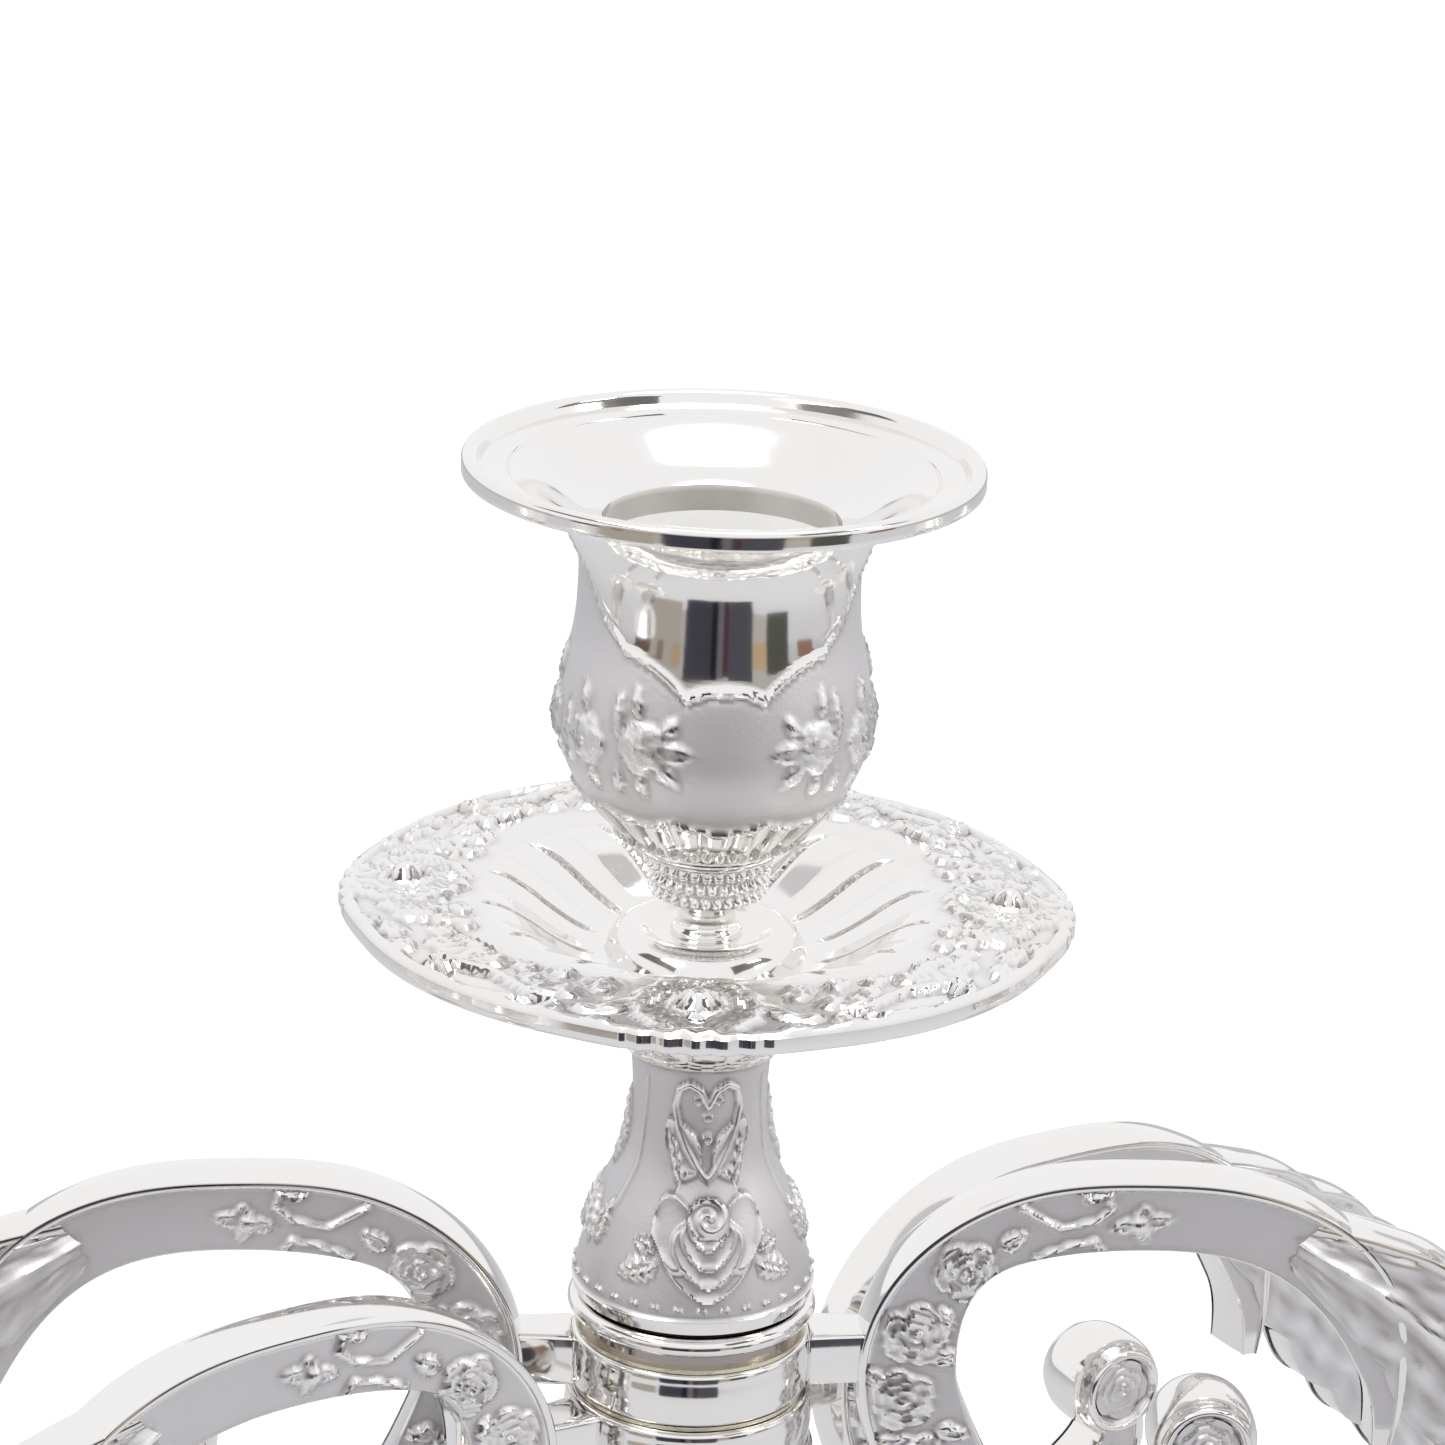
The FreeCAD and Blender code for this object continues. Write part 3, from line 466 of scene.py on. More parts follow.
def silver(name, polished, ground, polish_roughness, ground_roughness, hollow_shade):
    """Silver plate: bright where burnished, matt lavender grey on the ground, and painted brown shade in the
    hollows.
    """
    made, tree, shader, place = begin_finish(name)
    stored = add_node(tree, "Attribute", {}, attribute_name="finish").outputs["Color"]
    satin, sunk, _ = add_node(tree, "SeparateColor", {0: stored}).outputs
    mottled = cloudy(tree, place, 55, 4)
    warmer = tuple(c * f for c, f in zip(polished, (1.0, 0.985, 0.955)))
    cooler = tuple(c * f for c, f in zip(ground, (0.96, 0.955, 0.95)))
    warm = between(tree, ramp(tree, mottled, 0, 1), polished, warmer)
    cool = between(tree, ramp(tree, mottled, 0, 1), ground, cooler)
    tone = between(tree, satin, warm, cool)
    # Painted shade: the finish's green channel mixes the colour toward the dark brown shade colour, up to 72
    # percent.
    shade_hollows = add_node(tree, "Math", {0: sunk, 1: 0.72}, operation="MULTIPLY")
    tree.links.new(between(tree, shade_hollows.outputs[0], tone, hollow_shade), shader.inputs["Base Color"])
    shader.inputs["Metallic"].default_value = 1.0
    bright = ramp(tree, mottled, polish_roughness * 0.8, polish_roughness * 1.3)
    matt = ramp(tree, mottled, ground_roughness * 0.93, ground_roughness * 1.07)
    rough = add_node(tree, "Mix", {"Factor": satin, "A": bright, "B": matt})
    tree.links.new(rough.outputs[0], shader.inputs["Roughness"])
    depth = add_node(tree, "MapRange", {"Value": satin, "To Min": 0.03, "To Max": 0.42})
    grain(tree, shader, cloudy(tree, place, 2600, 2), 0.00006, depth.outputs["Result"])
    return made


# The last colour, dark brown, is the painted shade for the hollows.
plate = silver("cast_silver_plate", (0.875, 0.868, 0.860), (0.75, 0.74, 0.75), 0.085, 0.54,
               (0.19, 0.155, 0.135))


def stand_in(piece, body, *nodes):
    """The finished piece takes the place of CAD nodes and moves with their body."""
    if not piece.data.materials:
        piece.data.materials.append(plate)
    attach(piece, body)
    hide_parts(*nodes)


def low_of(node):
    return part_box(node)[0].z * 1000


def tall(node):
    """Height of a CAD node, in mm."""
    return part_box(node)[1].z * 1000 - low_of(node)


def move(piece, x, z):
    """Moves a piece's mesh, in mm."""
    piece.data.transform(Matrix.Translation((x / 1000, 0, z / 1000)))


def casting(name, node, line, steps):
    """Spun piece that stands where a CAD node does; with its points' angle, radius and height."""
    piece = turn_up(name, line, steps, closed=True)
    move(piece, 0, low_of(node))
    places, _, angle, r = surface(piece)
    return piece, angle, r, places[:, 2] - low_of(node)


def flange_edge(angle, radius, dip):
    """Outline of a scalloped edge: four rosette lobes, with a pair of shells between neighbours."""
    def bump(middle, half):
        away = np.abs(folded(angle, middle, 360))
        return np.where(away < half, np.cos(np.pi / 2 * away / half) ** 2, 0)
    corners = sum(bump(middle, 13) for middle in (0, 90, 180, 270))
    shells = sum(bump(quarter + side, 9) for quarter in (45, 135, 225, 315) for side in (-9, 9))
    return radius - dip * (1 - corners) + 0.55 * dip * shells


def rosette(x, y, radius, height):
    """Domed knob in a notched ring, a ring of fine ribs and a petalled border."""
    d, turn = np.hypot(x, y) / radius, np.degrees(np.arctan2(y, x))
    ring = np.exp(-((d - 0.39) / 0.055) ** 2) * (0.32 + 0.06 * np.cos(np.radians(18 * turn)))
    ribs = np.where((d > 0.46) & (d < 0.80), 0.22 + 0.07 * np.cos(np.radians(34 * turn)), 0)
    petals = 0.86 + 0.11 * np.abs(np.cos(np.radians(7 * turn)))
    border = np.where((d >= 0.80) & (d < petals + 0.03), 0.26 * round_top(d - petals + 0.07, 0.10) + 0.05, 0)
    step = 0.12 * (1 - rise(d, 0.78, 0.84))
    return height * highest(knob(x, y, 0, 0, radius * 0.25, 1.0), ring + step, ribs, border)


def fan_shell(x, y, cx, cy, heading, reach, spread, height, ribs):
    """Scallop shell that opens from its hinge at (cx, cy) towards `heading`."""
    c, s = math.cos(math.radians(heading)), math.sin(math.radians(heading))
    u, w = (x - cx) * c + (y - cy) * s, -(x - cx) * s + (y - cy) * c
    d, turn = np.hypot(u, w) / reach, np.degrees(np.arctan2(w, u))
    crest = np.abs(np.cos(np.pi * turn * ribs / 2 / spread))
    inside = (np.abs(turn) < spread) & (d < 1 - 0.07 * (1 - crest))
    rounded = np.sqrt(np.clip(1.02 - (turn / spread) ** 4, 0, 1))
    return np.where(inside, height * (0.5 + 0.5 * crest) * (0.35 + 0.65 * d) * rounded, 0)


def curl(x, y, cx, cy, radius, start, sweep, width, height):
    """Scroll end: a ridge that winds in to a small button."""
    turns = np.linspace(0, 1, 15)
    angles = np.radians(start + sweep * turns)
    radii = radius * (1 - 0.72 * turns)
    line = list(zip(cx + radii * np.cos(angles), cy + radii * np.sin(angles)))
    return np.maximum(ridge(x, y, line, width, height), knob(x, y, cx, cy, radius * 0.34, height * 1.1))


foot_r, rod_hole, h = 65.0, 3.4, tall("base_dome")
base, angle, r, z = casting("domed_base", "base_dome", outline(
    ([(57.2, 2.2), (57.2, 0.0)], 0.8), ([(64.7, 0)], 1.2), ([(foot_r, 1.2), (64.7, 2.4)], 0.6),
    ([(62.0, 4.0)], 0.7), ([(57.5, 5.6), (52.0, 8.0), (46.0, 9.6), (40.3, 10.8)], 0.52),
    ([(34.5, 13.2), (29.25, 16.0), (24.0, 20.2), (19.5, 24.8), (16.8, 29.2), (15.0, 34.0), (14.0, 37.0),
      (13.5, h)], 0.56), ([(rod_hole, h)], 1.6), ([(rod_hole, h - 5)], 1.6), ([(12.0, h - 5.2)], 1.6),
    ([(13.5, 30.0), (17.2, 22.4), (26.9, 13.6), (38.0, 8.4), (49.6, 5.6), (57.2, 2.2)], 2.4)), 360)
_, outward, _, _ = surface(base)
over = (outward[:, 2] > 0.02) & (z > 3.4) & (z > np.interp(r, [13, 15.5, 24, 40, 62], [37, 30, 17, 8.0, 3.2]))
shown = np.where(over & (r < 64.9), 1.0, 0.0)
band = shown * rise(r, 40.6, 41.4) * (1 - rise(r, 61.4, 62.0))
border_r = 51.15
y, turn = r - border_r, np.radians(folded(angle, 0, 90))
from_shells = np.radians(folded(angle, 45, 90)) * border_r
lift = highest(rosette(r * np.sin(turn), r * np.cos(turn) - border_r, 8.8, 1.9),
               knob(from_shells, y, 0, 2.6, 1.5, 0.9))
foliage = [(18.2, 3.6, 118), (18.6, 0.6, 160), (19.4, -3.4, 205), (24.0, 4.4, 60), (24.6, -3.8, 250),
           (1.0, -1.0, 265)]
for x in (-from_shells, from_shells):
    lift = highest(lift, fan_shell(x, y, 9.82, 6.25, -90, 9.5, 44, 1.2, 9),
                   curl(x, y, 3.0, 4.9, 2.3, 60, -480, 0.6, 0.9),
                   ridge(x, y, [(0, -6.6), (2.6, -5.6), (4.4, -6.6), (9.0, -7.6), (14.0, -7.4)], 0.6, 0.6),
                   rose(x, y, 22.76, 0, 3.6, 1.4),
                   *(leaf(x, y, lx, ly, 4.4, 1.5, heading, 0.8) for lx, ly, heading in foliage))
lift = band * lift
lift += shown * 0.7 * np.exp(-((r - 41.0) / 0.55) ** 2)
throat = shown * (1 - rise(r, 39.6, 40.4)) * rise(z, 8, 10)
deep = 1.6 * rise(r, 14.5, 24)
lift += throat * deep * (lobes(angle, 16) - 0.55) * np.where(r < 40.2, 1, 0)
x, y = np.radians(folded(angle, 45, 90)) * r, r - 31.0
sprays = (0.4 + spray(x, y, 0, 0.4, 3.6, 2.0)) * np.where(np.hypot(x, y) < 9.5, 1, 0)
lift = np.maximum(lift, throat * rise(r, 22, 24) * sprays)
top_band = shown * rise(z, h - 5.4, h - 5.0) > 0.5
lift = np.where(top_band, 0.45 * np.abs(np.cos(np.radians(angle * 20))), lift)
push_out(base, (flange_edge(angle, foot_r, 2.2) - foot_r) * rise(r, 46, 64))
chase(base, lift, band * (1 - rise(lift, 0.1, 0.5)) * 0.9)
stand_in(base, "column", "base_dome")


# ---- Base collar, lower stem, knop and middle stem -----------------------------------
# Four plated castings stacked on the tie rod. The stems are baluster shapes with long
# leaves rising from the foot, satin panels with rose sprays, and beaded necks; the knop
# between them is a gadrooned ball, and the collar a plain gadrooned cushion.

def beads(angle, r, dz, size, period, start=0):
    """Row of round beads, one to `period` degrees: 1 on their crests."""
    return round_top(np.hypot(np.radians(folded(angle, start, period)) * r, dz), size)


h = tall("base_collar")
collar, angle, r, z = casting("base_collar_ring", "base_collar", outline(
    ([(rod_hole, 0), (13.2, 0)], 1.6), ([(13.4, 0.5), (13.2, 1.0)], 0.25),
    ([(14.9, 1.7), (15.8, h / 2), (14.9, h - 1.7), (13.2, h - 1.0)], 0.3),
    ([(13.4, h - 0.5), (13.2, h)], 0.25), ([(rod_hole, h)], 1.6)), 240)
belly = rise(z, 1.0, 1.5) * (1 - rise(z, h - 1.5, h - 1.0)) * (r > 12)
chase(collar, -0.55 * belly * (1 - lobes(angle + 2.2 * (z - h / 2), 28)), 0 * r)
stand_in(collar, "column", "base_collar")


def baluster(node, wide, shape):
    """Stem casting whose line goes through (share of the height, share of `wide`)."""
    h = tall(node)
    stem, angle, r, z = casting(node + "_casting", node, outline(
        ([(rod_hole, 0), (wide * shape[0][1], 0)], 1.5),
        ([(wide * a, h * u) for u, a in shape[1:]], 0.70), ([(rod_hole, h)], 1.5)), 216)
    skin = np.where((z > 0.3) & (z < h - 0.3) & (r > 5), 1.0, 0.0)
    on_front, between_sprays = (np.radians(folded(angle, middle, 90)) * r for middle in (-90, -45))
    return stem, angle, r, z, skin, on_front, between_sprays


stem, angle, r, z, skin, on_front, between_sprays = baluster("lower_stem", 15.5, [
    (0.0, 0.62), (0.05, 0.66), (0.16, 0.90), (0.28, 1.0), (0.42, 0.90), (0.60, 0.62), (0.78, 0.48),
    (0.92, 0.47), (1.0, 0.56)])
drop = [(0, 24), (2.2, 30), (1.2, 36), (0, 41), (-1.2, 36), (-2.2, 30), (0, 24)]
reeds = rise(z, 44, 48) * (1 - rise(z, 80, 81))
lift = skin * highest(
    leaf(np.radians(folded(angle, 0, 45)) * r, z, 0, 1.5, 27, 6.2, 90, 1.2, 6),
    0.75 * leaf(np.radians(folded(angle, 22.5, 45)) * r, z, 0, 1.0, 21, 5.0, 90, 1.2, 5),
    spray(on_front, z, 0, 33.5, 3.4, 1.2), ridge(between_sprays, z, drop, 0.5, 0.5),
    knob(between_sprays, z, 0, 32, 0.9, 0.8), reeds * 0.7 * lobes(angle, 12),
    *(0.75 * round_top(z - at, 0.9) for at in (2.0, 43.0, 81.6, 86.4)),
    0.9 * beads(angle, r, z - 84.0, 0.95, 15))
chase(stem, lift, skin * np.where((z > 22) & (z < 43), 1.0, 0.0) * (1 - rise(lift, 0.1, 0.4)))
stand_in(stem, "column", "lower_stem")

h = tall("knop")
knop, angle, r, z = casting("gadrooned_knop", "knop", outline(
    ([(rod_hole, 0), (8.6, 0)], 1.5), ([(8.7, h * 0.06), (8.6, h * 0.12)], 0.4),
    ([(13.6, h * 0.24), (16.0, h * 0.38), (16.4, h * 0.455)], 0.4),
    ([(16.9, h / 2), (16.4, h * 0.545)], 0.25),
    ([(16.0, h * 0.62), (13.6, h * 0.76), (8.6, h * 0.88)], 0.4), ([(8.7, h * 0.94), (8.6, h)], 0.4),
    ([(rod_hole, h)], 1.5)), 216)
half = np.abs(z - h / 2)
ball = rise(half, 0.9, 1.3) * (1 - rise(half, h * 0.35, h * 0.38)) * (r > 8)
lift = -0.9 * ball * (1 - lobes(angle + 2.0 * (z - h / 2), 24)) * rise(r, 8.5, 13)
lift = np.where((half < 0.95) & (r > 12), 0.3 * beads(angle, 16.8, z - h / 2, 0.95, 7.5) - 0.2, lift)
chase(knop, lift, 0 * r)
stand_in(knop, "column", "knop")

stem, angle, r, z, skin, on_front, between_sprays = baluster("middle_stem", 13, [
    (0.0, 0.66), (0.04, 0.60), (0.16, 0.50), (0.34, 0.52), (0.52, 0.66), (0.70, 0.90), (0.82, 1.0),
    (0.92, 0.95), (1.0, 0.82)])
drop = [(0, 44), (2.4, 54), (3.4, 64), (1.6, 74), (0, 77), (-1.6, 74), (-3.4, 64), (-2.4, 54), (0, 44)]
lift = skin * highest(
    leaf(np.radians(folded(angle, 0, 60)) * r, z, 0, 7.5, 26, 3.3, 90, 1.0, 6),
    spray(on_front, z, 0, 66, 3.9, 1.25), leaf(on_front, z, 0, 58, 16, 1.7, -90, 0.9, 6),
    ridge(between_sprays, z, drop, 0.5, 0.5), leaf(between_sprays, z, 0, 52, 19, 1.8, 90, 0.8, 6),
    *(0.7 * round_top(z - at, 0.85) for at in (1.6, 6.4, 80.2, 86.2)),
    0.9 * beads(angle, r, z - 83.2, 1.0, 12))
chase(stem, lift, skin * np.where((z > 34) & (z < 80), 1.0, 0.0) * (1 - rise(lift, 0.1, 0.4)))
stand_in(stem, "column", "middle_stem")


# ---- Hub seat and yoke rings ---------------------------------------------------------
# A flange with a long sleeve sits on the middle stem. The two yoke rings turn on the
# sleeve between brass shims, and are turned and burnished smooth, edges eased.

h = tall("hub_seat")
seat, angle, r, z = casting("hub_seat_casting", "hub_seat", outline(
    ([(rod_hole, 0), (11.6, 0)], 1.6), ([(12.2, 0.2), (12.4, 0.8)], 0.2), ([(12.4, 1.3)], 0.25),
    ([(11.95, 1.6), (11.95, 1.9), (12.4, 2.2)], 0.15), ([(12.4, 4.4)], 0.3),
    ([(12.3, 4.8), (11.9, 5.0)], 0.15), ([(8.0, 5.0)], 0.9), ([(8.0, h)], 1.5),
    ([(rod_hole, h)], 1.5)), 240)
on_edge = (r > 12.2) & (z > 2.3) & (z < 4.3)
chase(seat, np.where(on_edge, 0.28 * beads(angle, 12.3, z - 3.3, 0.8, 7.5) - 0.28, 0), 0 * r)
stand_in(seat, "column", "hub_seat")

ring_bore = 8.06
for level, ring_r in (("upper", 11.7), ("lower", 12.1)):
    h, eased = tall(level + "_yoke_ring"), ring_r - 0.70
    crown = [(ring_r - 0.27 * t * t, h / 2 * (1 + t)) for t in (-0.9, -0.6, -0.3, 0, 0.3, 0.6, 0.9)]
    ring, angle, r, z = casting(level + "_swivel_ring", level + "_yoke_ring", outline(
        ([(ring_bore, 0), (eased, 0)], 0.9),
        ([(ring_r - 0.42, 0.06)] + crown + [(ring_r - 0.42, h - 0.06), (eased, h)], 0.16),
        ([(ring_bore, h)], 0.9)), 216)
    wave = 0.035 * np.sin(np.radians(angle * 3 + 40)) * np.sin(np.radians(angle * 5))
    chase(ring, np.where(r > 11, wave - 0.03, 0), 0 * r)
    stand_in(ring, level + "_yoke", level + "_yoke_ring")


# ---- Arms ----------------------------------------------------------------------------
# Four castings from one pattern, brazed to the rings by their tabs: a C-scroll with a
# rolled eye and a bow that carries the candle. Roses run down the sunk satin panel of
# both faces, an acanthus leaf covers the root of the bow, and the edges are burnished.

def loop_of(width, thick, panel):
    """Section of a strip as (from the inner edge, depth): rims, sunk panels, crowned bands."""
    k = min(1.0, width / 4.5)
    depth, sunk = thick / 2, thick / 2 - 0.42 * k
    rim = [(0.28 * k, depth - 0.10), (0.50 * k, depth), (0.85 * k, depth - 0.02),
           (1.02 * k, depth - 0.14), (1.12 * k, sunk)]
    bead = [(0.08 * k, sunk - 0.16), (0.20 * k, sunk + 0.05), (0.38 * k, sunk + 0.05), (0.50 * k, sunk)]
    floor = [(0.50 * k + (width - 1.62 * k) * i / (panel + 1), sunk) for i in range(1, panel + 1)]
    face = bead + floor + [(width - e, d) for e, d in rim[::-1]]
    crown = [(0.34 * k * (abs(d) / depth) ** 2.2, d) for d in np.linspace(depth - 0.25, -depth + 0.25, 11)]
    outer, inner = [(width - e, d) for e, d in crown], [(e, -d) for e, d in crown]
    return face + outer + [(e, -d) for e, d in face[::-1]] + inner


def sweep(name, spine, thick, panel, gap, plain_from=999):
    """Strip along a middle line of (r, z, width); returns it with each vertex's place on the strip."""
    line = smooth_line(spine, gap)
    line = line[(line[:, 0] < plain_from) | (np.arange(len(line)) % 3 == 0)]
    ahead = np.gradient(line[:, :2], axis=0)
    ahead /= np.linalg.norm(ahead, axis=1)[:, None]
    across = np.stack([-ahead[:, 1], ahead[:, 0]], 1)
    corners, run, side = [], [], []
    for k, (r, z, width) in enumerate(line):
        for e, d in loop_of(width, thick, panel):
            offset = e - width / 2
            corners.append((r + across[k, 0] * offset, -d, z + across[k, 1] * offset))
            run.append(k / (len(line) - 1))
            side.append(offset / (width / 2))
    count = len(corners) // len(line)
    faces = [(k + i, k + (i + 1) % count, k + count + (i + 1) % count, k + count + i)
             for k in range(0, len(corners) - count, count) for i in range(count)]
    faces += [tuple(range(count)), tuple(range(len(corners) - 1, len(corners) - count - 1, -1))]
    mesh = bpy.data.meshes.new(name)
    mesh.from_pydata([(x / 1000, y / 1000, z / 1000) for x, y, z in corners], [], faces)
    return in_scene(name, mesh), np.array(run), np.array(side)


def mark(piece, lift, satin):
    """Keeps a part's relief and satin with its vertices until the parts are joined."""
    for name, values in (("lift", lift), ("satin", satin)):
        piece.data.attributes.new(name, "FLOAT", "POINT").data.foreach_set("value", values.astype(np.float32))


reach, root, length, strip_wide = 146.0, 21.1, 47.6, 7.6
scroll = [(0.65, -0.47, 0.66), (0.655, -0.61, 0.74), (0.58, -0.84, 0.86), (0.45, -1.0, 0.98),
          (0.29, -0.97, 1.12), (0.135, -0.70, 1.26), (0.04, -0.31, 1.36)]
scroll = [(root + length * x, 20.5 * z, strip_wide * w) for x, z, w in scroll]
shoulder = [(0.0, 0.01, 1.32), (0.006, 0.31, 1.24), (0.037, 0.535, 1.10), (0.13, 0.81, 0.95),
            (0.25, 0.945, 1.0), (0.475, 1.0, 1.0), (0.67, 0.95, 1.02), (0.81, 0.80, 1.06),
            (0.92, 0.53, 1.04), (0.98, 0.17, 0.74)]
scroll += [(root + length * x, 18.1 * z, strip_wide * w) for x, z, w in shoulder]
scroll += [(root + length, -1.85, 3.5), (root + length * 0.995, -6.77, 2.0)]
bow_r, bow_z, bow_gap = root + length * 0.80, 18.1 * 0.83, 0.55
bow = [(0.0, 0.0, 0.70), (0.115, 0.13, 1.60), (0.235, 0.325, 2.35), (0.335, 0.51, 2.45),
       (0.435, 0.76, 1.65), (0.545, 0.94, 1.28), (0.67, 1.0, 1.08), (0.80, 0.92, 0.96),
       (0.91, 0.71, 0.88), (0.975, 0.47, 0.84), (1.0, 0.30, 0.84)]
bow = [(bow_r + (reach - bow_r) * x, bow_z - (bow_z + 34.4) * z, strip_wide * w) for x, z, w in bow]

strip, _, _ = sweep("scroll", scroll, 6.0, 18, 0.31, 49.5)
tidy(strip)
places, outward, _, _ = surface(strip)
x, z = places[:, 0], places[:, 2]
flat = (np.abs(outward[:, 1]) > 0.93) & (np.abs(places[:, 1]) < 2.75)
roses = [(26.3, 12.2, 3.3), (21.6, 5.5, 3.4), (20.7, -1.5, 3.4), (22.2, -8.3, 3.4), (26.6, -14.0, 3.3)]
rose_leaves = [(29.4, 14.6, 35), (24.0, 8.6, -75), (18.4, 1.8, 235), (23.4, 2.6, 20), (19.6, -5.2, 250),
               (24.2, -4.6, -15), (23.0, -12.4, 215), (28.6, -16.8, -40), (30.0, -12.8, 30)]
bud_leaves = [(42.8, 17.3, 10, 3.6), (42.8, 17.3, 190, 3.0), (42.9, 17.0, 80, 2.6), (42.8, 17.5, -70, 2.4)]
low_leaves = [(33.2, -19.6, -5, 7.0), (40.8, -20.0, 8, 6.5), (47.4, -17.2, 35, 5.0)]
stalk = [(31.5, 18.9), (35, 16.9), (38.5, 17.6), (40.2, 19.0), (39.6, 20.6), (38.6, 21.3)]
lift = highest(
    *(rose(x, z, cx, cz, size, 1.15, 25 * k) for k, (cx, cz, size) in enumerate(roses)),
    *(leaf(x, z, lx, lz, 3.4, 1.1, heading, 0.75) for lx, lz, heading in rose_leaves),
    ridge(x, z, stalk, 0.38, 0.5), ridge(x, z, [(33, 13.9), (36, 15), (38.6, 15.6), (39.3, 14.6)], 0.38, 0.5),
    *(leaf(x, z, lx, lz, long, 1.0, heading, 0.55) for lx, lz, heading, long in bud_leaves),
    knob(x, z, 42.8, 17.3, 1.1, 0.9), curl(x, z, 38.4, 20.7, 1.5, 40, 420, 0.35, 0.6),
    *(leaf(x, z, lx, lz, long, 1.9, heading, 0.6, 6) for lx, lz, heading, long in low_leaves))
mark(strip, lift * flat, np.where(flat, 1 - 0.40 * rise(lift, 0.15, 0.5), 0.0))

branch, run, side = sweep("bow", bow, 5.9, 17, bow_gap)
notched = 1 - 0.13 * (1 - np.abs(np.cos(np.pi * run * 12))) * (run < 0.46) * rise(run, 0.04, 0.10)
places, _, _, _ = surface(branch)
line = smooth_line(bow, bow_gap)
middle = line[np.round(run * (len(line) - 1)).astype(int)]
places[:, 0] = middle[:, 0] + (places[:, 0] - middle[:, 0]) * notched
places[:, 2] = middle[:, 1] + (places[:, 2] - middle[:, 1]) * notched
put(branch, places)
on_leaf = 1 - rise(run, 0.42, 0.46)
ribs = np.abs(np.cos(np.pi * 3.2 * np.clip(side, -1, 1) * (0.35 + 0.65 * rise(run, 0, 0.3))))
barbs = 0.85 + 0.15 * np.cos(2 * np.pi * (run * 24 - 1.1 * np.abs(side)))
lift = on_leaf * 0.75 * (0.25 + 0.75 * ribs ** 0.7) * barbs * (1 - 0.5 * np.abs(side) ** 3)
lift += 0.5 * on_leaf * np.exp(-(side / 0.10) ** 2)
tidy(branch)
places, outward, _, _ = surface(branch)
flat = (np.abs(outward[:, 1]) > 0.7) & (np.abs(places[:, 1]) < 2.80)
mark(branch, lift * flat, np.where(flat, 0.9, 0.0))

eye_size = 5.4
eye_r, eye_z = scroll[0][0] - eye_size * 0.2, scroll[0][1] + eye_size * 0.6
button = turn_up("eye", outline(
    ([(0, -4.1), (3.5, -4.1)], 0.22), ([(3.7, -3.95), (4.0, -4.28), (4.35, -4.15), (4.6, -3.7)], 0.16),
    ([(5.1, -2.7), (5.36, -1.3), (5.4, 0), (5.36, 1.3), (5.1, 2.7), (4.6, 3.7)], 0.35),
    ([(4.35, 4.15), (4.0, 4.28), (3.7, 3.95), (3.5, 4.1)], 0.16), ([(0, 4.1)], 0.22)), 96)
button.data.transform(Matrix.Rotation(math.pi / 2, 4, "X"))
move(button, eye_r, eye_z)
places, outward, _, _ = surface(button)
x, z = places[:, 0], places[:, 2]
flat = (np.abs(outward[:, 1]) > 0.9) & (np.hypot(x - eye_r, z - eye_z) < 3.6)
mark(button, (rose(x, z, eye_r, eye_z, 3.5, 0.75, 10) - 0.75) * flat, np.where(flat, 0.8, 0.0))

bpy.ops.mesh.primitive_cube_add(size=1)
tab = bpy.context.object
tab_from, tab_long = 11.2, 10.2
tab.data.transform(Matrix.Diagonal((tab_long / 1000, 0.0068, 0.0053, 1)))
move(tab, tab_from + tab_long / 2, 2.75)
bpy.ops.object.mode_set(mode="EDIT")
bpy.ops.mesh.select_all(action="SELECT")
bpy.ops.mesh.bevel(offset=0.0006, segments=4, affect="EDGES")
bpy.ops.mesh.subdivide(number_cuts=3)
bpy.ops.object.mode_set(mode="OBJECT")
places, _, _, _ = surface(tab)
waist = 1 - 0.12 * np.sin(np.pi * np.clip((places[:, 0] - tab_from) / tab_long, 0, 1))
places[:, 1] *= waist * (0.86 - 0.10 * rise(places[:, 0], 15, 19))
put(tab, places)
mark(tab, 0 * waist, 0 * waist)

stud_hole = 2.15
pad = turn_up("candle_pad", outline(
    ([(0, -6.4), (3.2, -6.4)], 0.6),
    ([(3.5, -6.1), (3.4, -5.2), (4.3, -3.4), (5.6, -1.2), (6.05, -0.3)], 0.3), ([(6.2, 0.0)], 0.2),
    ([(6.2, 0.8)], 0.25), ([(6.1, 1.05), (5.8, 1.1)], 0.12), ([(stud_hole, 1.1)], 0.9),
    ([(stud_hole, -4.0)], 1.2), ([(0, -4.0)], 1.1)), 112)
places, _, angle, r = surface(pad)
lift = np.where((places[:, 2] < -0.6) & (places[:, 2] > -5.4) & (r > 3), -0.35 * (1 - lobes(angle, 16)), 0)
move(pad, reach, 0)
mark(pad, lift, 0 * lift)

pick(strip)
for part in (branch, button, tab, pad):
    part.select_set(True)
bpy.ops.object.join()
kept = {}
for name in ("lift", "satin"):
    kept[name] = np.zeros(len(strip.data.vertices), np.float32)
    strip.data.attributes[name].data.foreach_get("value", kept[name])
chase(strip, kept["lift"], kept["satin"])
for name in kept:
    strip.data.attributes.remove(strip.data.attributes[name])
yoke_turns = {"upper": 0, "lower": 28}
for level, turn in yoke_turns.items():
    for hand, half_turn in (("right", 0), ("left", 180)):
        arm = in_scene(f"{level}_{hand}_scroll_arm", strip.data.copy())
        arm.data.transform(Matrix.Rotation(math.radians(turn + half_turn), 4, "Z"))
        move(arm, 0, low_of(level + "_yoke_ring"))
        stand_in(arm, level + "_yoke", f"{level}_{hand}_arm")
bpy.data.objects.remove(strip)


# ---- Drip pans -----------------------------------------------------------------------
# Five pans pressed from one die: a fluted dish, then a flat flange with a rosette on
# each of its four lobes, and garlands, shells and scrolls between them.

